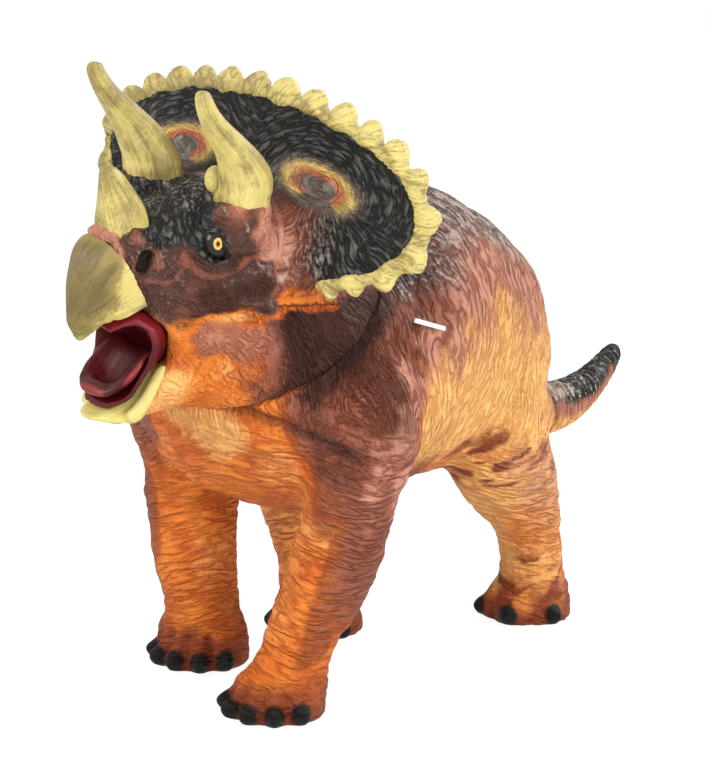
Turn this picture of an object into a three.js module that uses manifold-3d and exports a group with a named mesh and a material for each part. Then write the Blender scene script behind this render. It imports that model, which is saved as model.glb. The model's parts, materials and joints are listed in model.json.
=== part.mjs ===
// A soft vinyl toy triceratops, walking with its mouth open, built as the real one is: three hollow
// castings (body with legs, head, tail) that meet at two round seams, each held by a stiff plug with
// a snap ring, and stiffer horn, beak, frill edging, mouth and eye pieces seated in the head.
// Millimetres, +Z up. The animal faces -Y and its left side is +X.
import * as THREE from "three";
import { mergeVertices } from "three/addons/utils/BufferGeometryUtils.js";
import Module from "manifold-3d";

const wasm = await Module();
wasm.setup();
const turn = THREE.MathUtils.degToRad;

// Walls, fits and cuts
const skinWall = 3;
const fitGap = 0.3;
const seamGap = 0.4;
const cutOverrun = 2;
const cutReach = 400;
const leastSize = 0.2;

// Body casting: stance, and the trunk from the tail seam forward to the neck seam
const shoulderHeight = 92;
const halfTrack = 32;
const halfWheelbase = 60;
const trunkHalfWidth = 46;
const trunkDepthShare = 0.9565;
const trunkHalfDepth = trunkDepthShare * trunkHalfWidth;
const trunkRise = 2;
const trunkMidHeight = shoulderHeight + trunkRise;

// Neck seam: a round opening whose plane leans back from the throat to the nape
const neckWidthShare = 0.761;
const neckSeamRadius = neckWidthShare * trunkHalfWidth;
const neckSeamForward = 38.5;
const neckHeightShare = 1.1436;
const neckSeamHeight = neckHeightShare * trunkMidHeight;
const neckSeamLean = turn(54);

// Tail seam: a round upright opening at the end of the rump's taper
const tailSeamRadius = 8.8;
const tailSeamBack = 122;
const tailHeightShare = 0.5106;
const tailSeamHeight = tailHeightShare * trunkMidHeight;

// Legs: the stoutest radius of each pair, feet and claws
const foreLegRadius = 13.8;
const hindLegRadius = 17.5;
const soleThickness = 6;
const toeReachShare = 0.93;
const clawLength = 9.5;
const clawWidth = 8;
const clawHeight = 7.6;

// Head casting: it is cast turned a little to the animal's right and tipped to its left
const headTurn = turn(-15);
const headTip = turn(6);
const headPivotForward = 45;
const headPivotRise = 2.5;
const headPivotHeight = neckSeamHeight + headPivotRise;
const skullHalfWidth = 28;
const skullHalfDepth = 25;
const skullRise = 16;
const skullMidHeight = headPivotHeight + skullRise;
const skullLength = 56;
const skullFront = 50;
const jawLength = 44;
const jawFront = 52.5;
const jawHalfWidth = 24;
const jawHalfDepth = 15;
const jawDrop = 32;
const jawMidHeight = skullMidHeight - jawDrop;
const cheekLength = 40;
const cheekWidth = 16;
const cheekHeight = 26;
const cheekDrop = 13;
const cheekOutShare = 0.8;
const browBossSize = 15;

// Frill: a leaning plate round the back of the skull
const frillHalfWidth = 62.5;
const frillHalfHeight = 23.6;
const frillRimThickness = 3.6;
const frillRootThickness = 9;
const frillLean = turn(16);
const frillSweep = 3;
const frillRise = 19.5;
const frillBaseHeight = skullMidHeight + frillRise;
const frillEndAngle = turn(147);

// Frill edging: a scalloped strip with a groove that grips the frill's rim
const edgingGrip = 5.5;
const edgingThickness = 7.6;
const edgingRim = 1.8;
const scallopHeight = 4.6;
const scallopCount = 20;
const taperScallops = 3;
const endScallopShare = 0.35;

// Horns
const browHornLength = 31;
const browHornRadius = 8;
const browHornSide = 18;
const browHornForward = 20;
const browHornRise = 20;
const browHornHeight = skullMidHeight + browHornRise;
const noseHornLength = 17;
const noseHornRadius = 6.4;
const noseHornForward = 44;
const noseHornRise = 12;
const noseHornHeight = skullMidHeight + noseHornRise;
const hornSeat = 4;

// Beak: two stiff caps on pegs of the snout and the jaw
const beakLength = 22.6;
const beakHalfWidth = 12.5;
const beakHalfDepth = 12.5;
const beakRise = 2;
const beakMidHeight = skullMidHeight + beakRise;
const beakBack = 40;
const beakCutForward = 47.6;
const beakCutLean = turn(-28);
const jawCutForward = 41;
const jawCutLean = turn(26);

// Mouth liner and tongue
const mouthLength = 38;
const mouthHalfWidth = 15;
const mouthHalfDepth = 10.5;
const mouthBack = 27;
const mouthDrop = 18;
const mouthMidHeight = skullMidHeight - mouthDrop;
const linerWall = 1.8;
const tongueHalfWidth = 6;
const tongueHalfDepth = 2.3;

// Eyes
const eyeRadius = 4.4;
const eyeSide = 16.6;
const eyeForward = 25.4;
const eyeRise = 10;
const eyeHeight = skullMidHeight + eyeRise;

// Tail casting
const tailLength = 58;
const tailRise = 10;
const tailHollowLength = 26;

// Neck joint: a plug in the body, whose spigot passes the head's floor and carries a snap ring
const neckPlugDepth = 8;
const neckSpigotRadius = 13;
const neckFloor = 3.4;
const neckRingRadius = 19;
const neckRingThickness = 2.4;
const neckGrooveDepth = 2;
const neckSpigotCap = 2.2;

// Tail joint: the same in small
const tailPlugDepth = 9;
const tailSpigotRadius = 3.2;
const tailFloor = 2.4;
const tailRingRadius = 5;
const tailRingThickness = 1.4;
const tailGrooveDepth = 0.9;
const tailSpigotCap = 1.4;
const ringSlotAngle = turn(40);

// Stuffing
const stuffingSlack = 1.2;

// Tag fastener left in the left shoulder: a bar outside, a bar inside and the filament between
const tagBarLength = 10;
const tagBarRadius = 0.7;
const tagStemRadius = 0.5;
const tagStandOff = 3.4;
const tagForward = 19;
const tagRise = 12;
const tagHeight = trunkMidHeight + tagRise;
const tagSlope = turn(19);
const tagSwing = turn(32);

// How finely each kind of form is stepped
const trunkSides = 28;
const trunkSteps = 16;
const legSides = 14;
const legSteps = 12;
const clawSides = 8;
const clawSteps = 5;
const hollowSides = 12;
const hollowSteps = 8;
const headSides = 20;
const headSteps = 10;
const smallSides = 12;
const smallSteps = 6;
const roundSides = 20;
const stepsPerScallop = 4;
const edgingSides = 8;

// Section shapes: the power that a rounded section is drawn with, 2 for an ellipse
const ovalPower = 2;
const fullPower = 2.3;
const boxyPower = 4;

// Places and directions
const across = new THREE.Vector3(1, 0, 0);
const upright = turn(90);

function place(x, y, z) {
  return new THREE.Matrix4().makeTranslation(x, y, z);
}

// A frame whose Z axis is the way that a section faces: forward, leaning back by an angle
function sectionFrame(x, y, z, lean) {
  const up = new THREE.Vector3(0, Math.sin(lean), Math.cos(lean));
  const facing = new THREE.Vector3(0, -Math.cos(lean), Math.sin(lean));
  return new THREE.Matrix4().makeBasis(across, up, facing).setPosition(x, y, z);
}

// Geometry as a solid, facing out whichever way its faces were listed
function solid(geometry, matrix = new THREE.Matrix4()) {
  const bare = geometry.clone().applyMatrix4(matrix);
  bare.deleteAttribute("normal");
  bare.deleteAttribute("uv");
  const merged = mergeVertices(bare);
  const corners = merged.index.array;
  const faces = [];
  for (let i = 0; i < corners.length; i += 3) {
    const [a, b, c] = corners.slice(i, i + 3);
    if (a !== b && b !== c && c !== a) faces.push(a, b, c);
  }
  const vertProperties = merged.attributes.position.array;
  const make = (list) =>
    new wasm.Manifold(new wasm.Mesh({ numProp: 3, vertProperties, triVerts: Uint32Array.from(list) }));
  const made = make(faces);
  return made.volume() > 0 ? made : make(faces.reverse());
}

function joined(...solids) {
  return solids.reduce((whole, next) => whole.add(next));
}

// A solid as a named mesh in its own colour
function piece(name, made, material) {
  const mesh = made.getMesh();
  const geometry = new THREE.BufferGeometry();
  geometry.setAttribute("position", new THREE.BufferAttribute(mesh.vertProperties, 3));
  geometry.setIndex(new THREE.BufferAttribute(mesh.triVerts, 1));
  geometry.computeVertexNormals();
  const result = new THREE.Mesh(geometry, material);
  result.name = name;
  return result;
}

// The closed skin over rings of equally many points, with a fan over each end
function skin(rings) {
  const count = rings[0].length;
  const points = rings.flat();
  const faces = [];
  for (let k = 0; k + 1 < rings.length; k++)
    for (let i = 0; i < count; i++) {
      const a = k * count + i;
      const b = k * count + ((i + 1) % count);
      faces.push(a, b, b + count, a, b + count, a + count);
    }
  for (const k of [0, rings.length - 1]) {
    const middle = new THREE.Vector3();
    rings[k].forEach((point) => middle.add(point));
    points.push(middle.divideScalar(count));
    for (let i = 0; i < count; i++) {
      const a = k * count + i;
      const b = k * count + ((i + 1) % count);
      faces.push(points.length - 1, ...(k ? [a, b] : [b, a]));
    }
  }
  const geometry = new THREE.BufferGeometry().setFromPoints(points);
  geometry.setIndex(faces);
  return geometry;
}

// The value at t, from 0 to 1, of a smooth curve through evenly spaced values
function through(values, t) {
  const last = values.length - 1;
  const i = Math.min(Math.floor(t * last), last - 1);
  const u = t * last - i;
  const [a, b, c, d] = [i - 1, i, i + 1, i + 2].map((k) => values[THREE.MathUtils.clamp(k, 0, last)]);
  const bend = 2 * a - 5 * b + 4 * c - d + u * (3 * (b - c) + d - a);
  return b + (u * (c - a + u * bend)) / 2;
}

// Stations between the given ones, each number on its own smooth curve
function smoothed(stations, steps) {
  const at = (key, t) => through(stations.map((station) => station[key]), t);
  return Array.from({ length: steps + 1 }, (_, i) =>
    Object.fromEntries(Object.keys(stations[0]).map((key) => [key, at(key, i / steps)])),
  );
}

// The points of one station's rounded section, grown outwards by a clearance or, below zero, by a wall
function sectionRing({ x, y, z, lean, wide, high }, sides, power, grow) {
  const frame = sectionFrame(x, y, z, lean);
  const round = (value) => Math.sign(value) * Math.abs(value) ** (2 / power);
  return Array.from({ length: sides }, (_, i) => {
    const angle = (2 * Math.PI * i) / sides;
    const side = Math.max(wide + grow, leastSize) * round(Math.cos(angle));
    const rise = Math.max(high + grow, leastSize) * round(Math.sin(angle));
    return new THREE.Vector3(side, rise, 0).applyMatrix4(frame);
  });
}

function loft(stations, { sides = smallSides, steps = smallSteps, power = ovalPower, grow = 0 } = {}) {
  return solid(skin(smoothed(stations, steps).map((station) => sectionRing(station, sides, power, grow))));
}

// A solid of revolution about its own Z axis, from a closed outline of [radius, height] points
function turned(outline, sides = roundSides) {
  const points = [...outline, outline[0]].map(([radius, height]) => new THREE.Vector2(radius, height));
  return new THREE.LatheGeometry(points, sides).rotateX(upright);
}

// Everything on the facing side of a frame's own XY plane, and everything behind it
function halfSpace(frame, offset, facing) {
  const block = new THREE.BoxGeometry(cutReach, cutReach, cutReach);
  block.translate(0, 0, offset + (facing * cutReach) / 2);
  return solid(block, frame);
}

function ball(width, length, height, x, y, z) {
  const round = new THREE.SphereGeometry(1, smallSides, smallSteps).rotateX(upright);
  return solid(round.scale(width / 2, length / 2, height / 2), place(x, y, z));
}

// The frames of the two seams
const neckFrame = sectionFrame(0, -neckSeamForward, neckSeamHeight, neckSeamLean);
const tailFrame = sectionFrame(0, tailSeamBack, tailSeamHeight, 0);

// Trunk: its stations run from behind the tail seam to beyond the neck seam. Each row of shares is
// along the trunk, height, half width, half depth, and the lean in degrees
const trunkShares = [
  [0.062, 0.53, 0.228, 0.26, 0],
  [0.118, 0.6, 0.3, 0.386, 0],
  [0.18, 0.69, 0.424, 0.57, 0],
  [0.255, 0.8, 0.587, 0.73, 0],
  [0.343, 0.878, 0.76, 0.807, 0],
  [0.449, 0.932, 0.924, 0.88, 0],
  [0.573, 0.994, 1.0, 1.0, 0],
  [0.698, 1.012, 1.02, 1.01, 0],
  [0.822, 0.98, 0.99, 0.916, 8],
  [0.916, 0.96, 0.935, 0.94, 24],
  [0.975, 1.048, 0.86, 0.864, 40],
];

function trunkStations() {
  const length = tailSeamBack + neckSeamForward;
  const seam = (frame, radius, offset, lean) => {
    const middle = new THREE.Vector3(0, 0, offset).applyMatrix4(frame);
    return { x: 0, y: middle.y, z: middle.z, lean, wide: radius, high: radius };
  };
  const between = trunkShares.map(([along, height, wide, high, lean]) => ({
    x: 0,
    y: tailSeamBack - along * length,
    z: height * trunkMidHeight,
    lean: turn(lean),
    wide: wide * trunkHalfWidth,
    high: high * trunkHalfDepth,
  }));
  return [
    seam(tailFrame, tailSeamRadius, -cutOverrun, 0),
    ...between,
    seam(neckFrame, neckSeamRadius, 0, neckSeamLean),
    seam(neckFrame, neckSeamRadius, neckPlugDepth, neckSeamLean),
  ];
}

// Legs: heights as shares of the shoulder height, from the sole up into the trunk
const legHeightShares = [0, 0.055, 0.12, 0.18, 0.3, 0.46, 0.66, 0.88, 1.08];
const foreLegShares = {
  wide: [1, 1.04, 0.88, 0.76, 0.88, 0.96, 0.98, 1.08, 0.95],
  high: [1, 1.06, 0.9, 0.76, 0.9, 0.98, 1.06, 1.35, 1.2],
};
const hindLegShares = {
  wide: [0.78, 0.8, 0.64, 0.52, 0.6, 0.86, 0.95, 0.92, 0.66],
  high: [0.78, 0.84, 0.68, 0.54, 0.64, 0.9, 1.08, 1.3, 1.0],
};
// Each leg's own walk: sideways as shares of the half track, back as shares of the half wheelbase
const legWalks = {
  left_fore: {
    profile: foreLegShares,
    radius: foreLegRadius,
    sideShares: [0.5, 0.5, 0.54, 0.61, 0.72, 0.84, 1.0, 1.08, 0.9],
    backShares: [-0.9, -0.9, -0.86, -0.82, -0.75, -0.68, -0.67, -0.56, -0.42],
  },
  right_fore: {
    profile: foreLegShares,
    radius: foreLegRadius,
    sideShares: [-0.86, -0.86, -0.88, -0.89, -0.9, -0.92, -0.98, -1.04, -0.9],
    backShares: [-0.45, -0.45, -0.43, -0.43, -0.47, -0.46, -0.45, -0.48, -0.42],
  },
  left_hind: {
    profile: hindLegShares,
    radius: hindLegRadius,
    sideShares: [0.97, 0.97, 0.98, 0.98, 1.0, 1.01, 1.0, 0.92, 0.7],
    backShares: [1.03, 1.03, 1.05, 1.06, 1.01, 0.8, 0.63, 0.61, 0.62],
  },
  right_hind: {
    profile: hindLegShares,
    radius: hindLegRadius,
    sideShares: [-0.48, -0.48, -0.54, -0.62, -0.74, -0.86, -0.94, -0.92, -0.7],
    backShares: [0.27, 0.27, 0.28, 0.3, 0.36, 0.44, 0.54, 0.64, 0.75],
  },
};
const foreToeAngles = [-62, -33, -2, 31, 64].map(turn);
const hindToeAngles = [-54, 4, 66].map(turn);

function legStations({ profile, radius, sideShares, backShares }) {
  return legHeightShares.map((share, i) => ({
    x: sideShares[i] * halfTrack,
    y: backShares[i] * halfWheelbase,
    z: share * shoulderHeight,
    lean: upright,
    wide: profile.wide[i] * radius,
    high: profile.high[i] * radius,
  }));
}

function claws({ profile, radius, sideShares, backShares }) {
  const angles = profile === foreLegShares ? foreToeAngles : hindToeAngles;
  const [x, y] = [sideShares[0] * halfTrack, backShares[0] * halfWheelbase];
  return angles.map((angle) => {
    const toe = new THREE.SphereGeometry(1, clawSides, clawSteps).rotateX(upright);
    toe.scale(clawWidth / 2, clawLength / 2, clawHeight / 2);
    toe.translate(0, -toeReachShare * radius * profile.wide[0], clawHeight / 2);
    return solid(toe.rotateZ(angle), place(x, y, 0));
  });
}

const floorFrame = new THREE.Matrix4();
const legs = Object.values(legWalks);
const outerBody = joined(
  loft(trunkStations(), { sides: trunkSides, steps: trunkSteps, power: fullPower }),
  ...legs.map((leg) => loft(legStations(leg), { sides: legSides, steps: legSteps })),
  ...legs.flatMap(claws),
).subtract(halfSpace(floorFrame, 0, -1));

// The hollow inside a wall: the trunk's opens at both seams, and each leg's stands on its sole
function bodyHollow(wall) {
  const inside = { sides: hollowSides, steps: hollowSteps, grow: -wall };
  const trunk = loft(trunkStations(), { ...inside, steps: trunkSteps, power: fullPower });
  const legHollows = joined(...legs.map((leg) => loft(legStations(leg), inside)));
  return trunk.add(legHollows.subtract(halfSpace(floorFrame, soleThickness, -1)));
}

// Tag fastener: where its filament enters the left shoulder
const probe = new THREE.BoxGeometry(cutReach, tagStemRadius, tagStemRadius);
probe.translate(cutReach / 2, -tagForward, tagHeight);
const tagSide = outerBody.intersect(solid(probe)).boundingBox().max[0];

function tagFastener(grow) {
  const radius = tagBarRadius + grow;
  const bar = (x, swing) => {
    const rod = new THREE.CylinderGeometry(radius, radius, tagBarLength + 2 * grow, smallSides);
    return solid(rod.rotateX(-tagSlope).rotateZ(-swing), place(x, -tagForward, tagHeight));
  };
  const [outside, inside] = [tagSide + tagStandOff, tagSide - skinWall - tagStandOff];
  const filament = tagStemRadius + grow;
  const stem = new THREE.CylinderGeometry(filament, filament, outside - inside, smallSides).rotateZ(upright);
  const threaded = solid(stem, place((outside + inside) / 2, -tagForward, tagHeight));
  return joined(bar(outside, tagSwing), bar(inside, 0), threaded);
}

// A plug: a disc inside the opening, then a spigot with a groove for its snap ring
function plugOutline({ opening, depth, spigot, floor, ring, groove, cap }) {
  const discTop = -seamGap / 2;
  const grooveFoot = seamGap / 2 + floor + fitGap;
  const grooveTop = grooveFoot + ring + 2 * fitGap;
  return [
    [0, discTop - depth],
    [opening - fitGap, discTop - depth],
    [opening - fitGap, discTop],
    [spigot, discTop],
    [spigot, grooveFoot],
    [spigot - groove, grooveFoot],
    [spigot - groove, grooveTop],
    [spigot, grooveTop],
    [spigot - fitGap, grooveTop + cap],
    [0, grooveTop + cap],
  ];
}

// The round seat that a plug's disc lies in, and the round hole that its spigot passes
function bore(radius, from, to, frame) {
  return solid(
    turned([
      [0, from],
      [radius, from],
      [radius, to],
      [0, to],
    ]),
    frame,
  );
}

function plugSeat({ opening, depth }, frame) {
  return bore(opening, -seamGap / 2 - depth - fitGap, cutOverrun, frame);
}

function spigotHole({ spigot, floor }, frame) {
  return bore(spigot + fitGap, -cutOverrun, seamGap / 2 + floor + cutOverrun, frame);
}

// A snap ring: it sits in the plug's groove, and a slot lets it open over the spigot
function snapRing({ spigot, floor, ring, groove, ringRadius }) {
  const foot = seamGap / 2 + floor + 2 * fitGap;
  const bore = spigot - groove + fitGap;
  const ringShape = new THREE.Shape().absarc(0, 0, ringRadius, ringSlotAngle / 2, -ringSlotAngle / 2);
  ringShape.absarc(0, 0, bore, -ringSlotAngle / 2, ringSlotAngle / 2, true);
  const geometry = new THREE.ExtrudeGeometry(ringShape, {
    depth: ring,
    bevelEnabled: false,
    curveSegments: roundSides,
  });
  return geometry.translate(0, 0, foot);
}

const neckJoint = {
  opening: neckSeamRadius - skinWall,
  depth: neckPlugDepth,
  spigot: neckSpigotRadius,
  floor: neckFloor,
  ring: neckRingThickness,
  groove: neckGrooveDepth,
  cap: neckSpigotCap,
  ringRadius: neckRingRadius,
};
const tailJoint = {
  opening: tailSeamRadius - skinWall,
  depth: tailPlugDepth,
  spigot: tailSpigotRadius,
  floor: tailFloor,
  ring: tailRingThickness,
  groove: tailGrooveDepth,
  cap: tailSpigotCap,
  ringRadius: tailRingRadius,
};
// The tail's plug points backwards
const tailPlugFrame = tailFrame.clone().multiply(new THREE.Matrix4().makeRotationX(Math.PI));

// The height above the seam at which everything of a plug has ended
function plugTop({ floor, ring, cap }) {
  return seamGap / 2 + floor + 3 * fitGap + ring + cap;
}

// Head: its own frame, with the pivot line at x = y = 0
const headFacing = new THREE.Euler(0, headTip, headTurn, "ZYX");
const headPlace = place(0, -headPivotForward, headPivotHeight)
  .multiply(new THREE.Matrix4().makeRotationFromEuler(headFacing))
  .multiply(place(0, 0, -headPivotHeight));
const neckInHead = headPlace.clone().invert().multiply(neckFrame);

// Skull: share of its length back from its front, mid height, half width, half depth
const skullShares = [
  [0, 1.015, 0.3, 0.36],
  [0.108, 1.015, 0.375, 0.46],
  [0.213, 1.012, 0.465, 0.56],
  [0.358, 1.008, 0.61, 0.68],
  [0.538, 1.004, 0.76, 0.82],
  [0.713, 0.992, 0.9, 0.96],
  [0.87, 0.982, 0.98, 0.98],
  [1, 0.96, 0.9, 0.86],
];
// Jaw: the same
const jawShares = [
  [0, 1.0, 0.1, 0.1],
  [0.05, 0.995, 0.24, 0.24],
  [0.14, 0.98, 0.36, 0.38],
  [0.27, 0.995, 0.48, 0.5],
  [0.45, 1.03, 0.6, 0.64],
  [0.68, 1.055, 0.8, 0.8],
  [1, 1.1, 1, 1],
];

function headStations(shares, front, length, midHeight, halfWidth, halfDepth) {
  return shares.map(([back, height, wide, high]) => ({
    x: 0,
    y: back * length - front,
    z: height * midHeight,
    lean: 0,
    wide: wide * halfWidth,
    high: high * halfDepth,
  }));
}

const skullStations = headStations(
  skullShares,
  skullFront,
  skullLength,
  skullMidHeight,
  skullHalfWidth,
  skullHalfDepth,
);
const jawStations = headStations(jawShares, jawFront, jawLength, jawMidHeight, jawHalfWidth, jawHalfDepth);

// Neck: round at the seam, narrowing as it rises into the skull. Shares of the seam's radius
const neckRiseShares = [-0.1, 0, 0.18, 0.36, 0.54, 0.72];
const neckNarrowShares = [1, 1, 0.98, 0.92, 0.82, 0.64];

const neckTop = neckRiseShares.at(-1) * neckSeamRadius;

function neckSkin(grow, sides, steps) {
  const rings = smoothed(
    neckRiseShares.map((rise, i) => ({ rise, narrow: neckNarrowShares[i] })),
    steps,
  ).map(({ rise, narrow }) =>
    Array.from({ length: sides }, (_, i) => {
      const angle = (2 * Math.PI * i) / sides;
      const radius = neckSeamRadius * narrow + grow;
      const point = new THREE.Vector3(
        radius * Math.cos(angle),
        radius * Math.sin(angle),
        neckSeamRadius * rise,
      );
      return point.applyMatrix4(neckInHead);
    }),
  );
  return solid(skin(rings));
}

// The frill's middle surface, by a place across it and a place up it from its middle
function frillPoint(side, rise) {
  const share = side / frillHalfWidth;
  return new THREE.Vector3(
    side,
    rise * Math.sin(frillLean) + frillSweep * share * share,
    frillBaseHeight + rise * Math.cos(frillLean),
  );
}

const frillFacing = new THREE.Vector3(0, -Math.cos(frillLean), Math.sin(frillLean));
const frillReachShares = [0.04, 0.55, 1];
const frillOutline = new THREE.EllipseCurve(
  0,
  0,
  frillHalfWidth,
  frillHalfHeight,
  upright + frillEndAngle,
  upright - frillEndAngle,
  true,
);

// Evenly spaced places on the frill's outline, each with the way that faces out from the rim
function rimPlaces(steps) {
  return Array.from({ length: steps + 1 }, (_, i) => {
    const along = frillOutline.getTangentAt(i / steps);
    return { at: frillOutline.getPointAt(i / steps), out: new THREE.Vector2(-along.y, along.x) };
  });
}

function frillPlate(grow) {
  const rings = rimPlaces(scallopCount * 2).map(({ at, out }) => {
    const face = (front) =>
      frillReachShares.map((share) => {
        const thickness = THREE.MathUtils.lerp(frillRootThickness, frillRimThickness, share) + 2 * grow;
        const place = at.clone().multiplyScalar(share);
        if (share === 1) place.addScaledVector(out, grow);
        return frillPoint(place.x, place.y).addScaledVector(frillFacing, (front * thickness) / 2);
      });
    return [...face(1), ...face(-1).reverse()];
  });
  return solid(skin(rings));
}

// The edging's strip before its groove is cut: it swells into a scallop between each two notches
function edgingStrip(grow) {
  const round = (value) => Math.sign(value) * Math.abs(value) ** (2 / boxyPower);
  const rings = rimPlaces(scallopCount * stepsPerScallop).map(({ at, out }, i) => {
    const swell = Math.sqrt(Math.abs(Math.sin((Math.PI * i) / stepsPerScallop)));
    const ends = Math.min(i, scallopCount * stepsPerScallop - i) / (taperScallops * stepsPerScallop);
    const full = THREE.MathUtils.lerp(endScallopShare, 1, Math.min(ends, 1));
    const outer = edgingRim + scallopHeight * full * swell + grow;
    const inner = -edgingGrip - grow;
    return Array.from({ length: edgingSides }, (_, k) => {
      const around = (2 * Math.PI * (k + 0.5)) / edgingSides;
      const reach = (inner + outer) / 2 + ((outer - inner) / 2) * round(Math.cos(around));
      const depth = (edgingThickness / 2 + grow) * round(Math.sin(around));
      const place = at.clone().addScaledVector(out, reach);
      return frillPoint(place.x, place.y).addScaledVector(frillFacing, depth);
    });
  });
  return solid(skin(rings));
}

// Horns: each bends from its seat to its tip. Shares of its length along, forward and sideways,
// then of its root radius
const browHornShares = [
  { along: -1, ahead: 0, aside: 0, thick: 1 },
  { along: 0, ahead: 0, aside: 0, thick: 1 },
  { along: 0.25, ahead: 0.2, aside: 0.02, thick: 0.8 },
  { along: 0.5, ahead: 0.4, aside: 0.07, thick: 0.56 },
  { along: 0.75, ahead: 0.54, aside: 0.11, thick: 0.38 },
  { along: 0.95, ahead: 0.6, aside: 0.13, thick: 0.24 },
  { along: 1, ahead: 0.61, aside: 0.13, thick: 0.1 },
];
const noseHornShares = [
  { along: -1, ahead: 0, aside: 0, thick: 1 },
  { along: 0, ahead: 0, aside: 0, thick: 1 },
  { along: 0.35, ahead: 0.08, aside: 0, thick: 0.74 },
  { along: 0.7, ahead: 0.22, aside: 0, thick: 0.46 },
  { along: 0.94, ahead: 0.33, aside: 0, thick: 0.27 },
  { along: 1, ahead: 0.36, aside: 0, thick: 0.12 },
];

function horn(shares, length, radius, side, forward, height, grow) {
  const stations = shares.map(({ along, ahead, aside, thick }) => ({
    x: side + Math.sign(side) * aside * length,
    y: -forward - ahead * length,
    z: height + (along < 0 ? along * (hornSeat + grow) : along * length),
    lean: upright,
    wide: thick * radius,
    high: thick * radius,
  }));
  return loft(stations, { grow, sides: smallSides, steps: smallSteps * 2 });
}

const browHorn = (mirror, grow = 0) =>
  horn(
    browHornShares,
    browHornLength,
    browHornRadius,
    mirror * browHornSide,
    browHornForward,
    browHornHeight,
    grow,
  );
const noseHorn = (grow = 0) =>
  horn(noseHornShares, noseHornLength, noseHornRadius, 0, noseHornForward, noseHornHeight, grow);

// Beak: forward as shares of its length, drop from its mid height as shares of its half depth, lean
// in degrees, half width and half depth
const beakShares = [
  [0, 0, 0, 1, 1.02],
  [0.26, 0, -4, 0.94, 0.98],
  [0.46, 0.12, -20, 0.76, 0.84],
  [0.6, 0.4, -44, 0.52, 0.62],
  [0.67, 0.84, -66, 0.34, 0.42],
  [0.66, 1.2, -84, 0.2, 0.24],
  [0.64, 1.42, -92, 0.06, 0.08],
];
const beakPegShares = [
  [0, 0, 0, 0.56, 0.58],
  [0.3, 0, -4, 0.54, 0.56],
  [0.5, 0.08, -14, 0.4, 0.42],
  [0.56, 0.12, -18, 0.2, 0.22],
];

function beakLoft(shares, grow = 0) {
  const stations = shares.map(([ahead, drop, lean, wide, high]) => ({
    x: 0,
    y: -beakBack - ahead * beakLength,
    z: beakMidHeight - drop * beakHalfDepth,
    lean: turn(lean),
    wide: wide * beakHalfWidth,
    high: high * beakHalfDepth,
  }));
  return loft(stations, { grow, sides: headSides, steps: smallSteps + 2 });
}

const beakCut = sectionFrame(0, -beakCutForward, beakMidHeight, beakCutLean);
const jawCut = sectionFrame(0, -jawCutForward, jawMidHeight, jawCutLean);
const jawPegShares = [
  [0.13, 0.985, 0.16, 0.16],
  [0.2, 0.985, 0.24, 0.24],
  [0.3, 0.995, 0.3, 0.3],
  [0.5, 1.03, 0.4, 0.4],
];

function jawPeg(grow) {
  const stations = headStations(jawPegShares, jawFront, jawLength, jawMidHeight, jawHalfWidth, jawHalfDepth);
  return loft(stations, { grow });
}

// Mouth: forward from its back as shares of its length, mid height, half width, half depth
const mouthShares = [
  [0, 1.0, 0.4, 0.34],
  [0.105, 1.0, 0.6, 0.62],
  [0.26, 1.01, 0.84, 0.82],
  [0.45, 1.0, 1.04, 1.0],
  [0.66, 0.958, 1.2, 0.86],
  [0.79, 0.926, 1.3, 0.67],
  [1, 0.9, 1.34, 0.48],
];
const mouthStations = mouthShares.map(([ahead, height, wide, high]) => ({
  x: 0,
  y: -mouthBack - ahead * mouthLength,
  z: height * mouthMidHeight,
  lean: 0,
  wide: wide * mouthHalfWidth,
  high: high * mouthHalfDepth,
}));

function mouthLoft(grow) {
  return loft(mouthStations, { grow, sides: hollowSides, power: fullPower });
}

// What the face would be with its mouth shut and filled, which trims the liner at the lips
const faceShares = [
  [0, 0.86, 0.2, 0.9],
  [0.17, 0.86, 0.36, 1],
  [0.36, 0.88, 0.47, 1],
  [0.58, 0.88, 0.62, 1],
  [1, 0.88, 0.75, 1],
];

function faceFill(grow) {
  const stations = headStations(
    faceShares,
    skullFront,
    skullLength / 2,
    skullMidHeight,
    skullHalfWidth,
    skullHalfDepth,
  );
  return loft(stations, { grow, sides: hollowSides, power: fullPower });
}

function eyeBall(mirror, grow) {
  const size = 2 * (eyeRadius + grow);
  return ball(size, size, size, mirror * eyeSide, -eyeForward, eyeHeight);
}

function cheek(mirror) {
  const side = mirror * (cheekOutShare * skullHalfWidth - cheekWidth / 2);
  return ball(cheekWidth, cheekLength, cheekHeight, side, -cheekLength / 4, skullMidHeight - cheekDrop);
}

function browBoss(mirror) {
  return ball(
    browBossSize,
    browBossSize,
    browBossSize,
    mirror * (browHornSide - fitGap),
    -browHornForward,
    browHornHeight - browBossSize / 2,
  );
}

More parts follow.
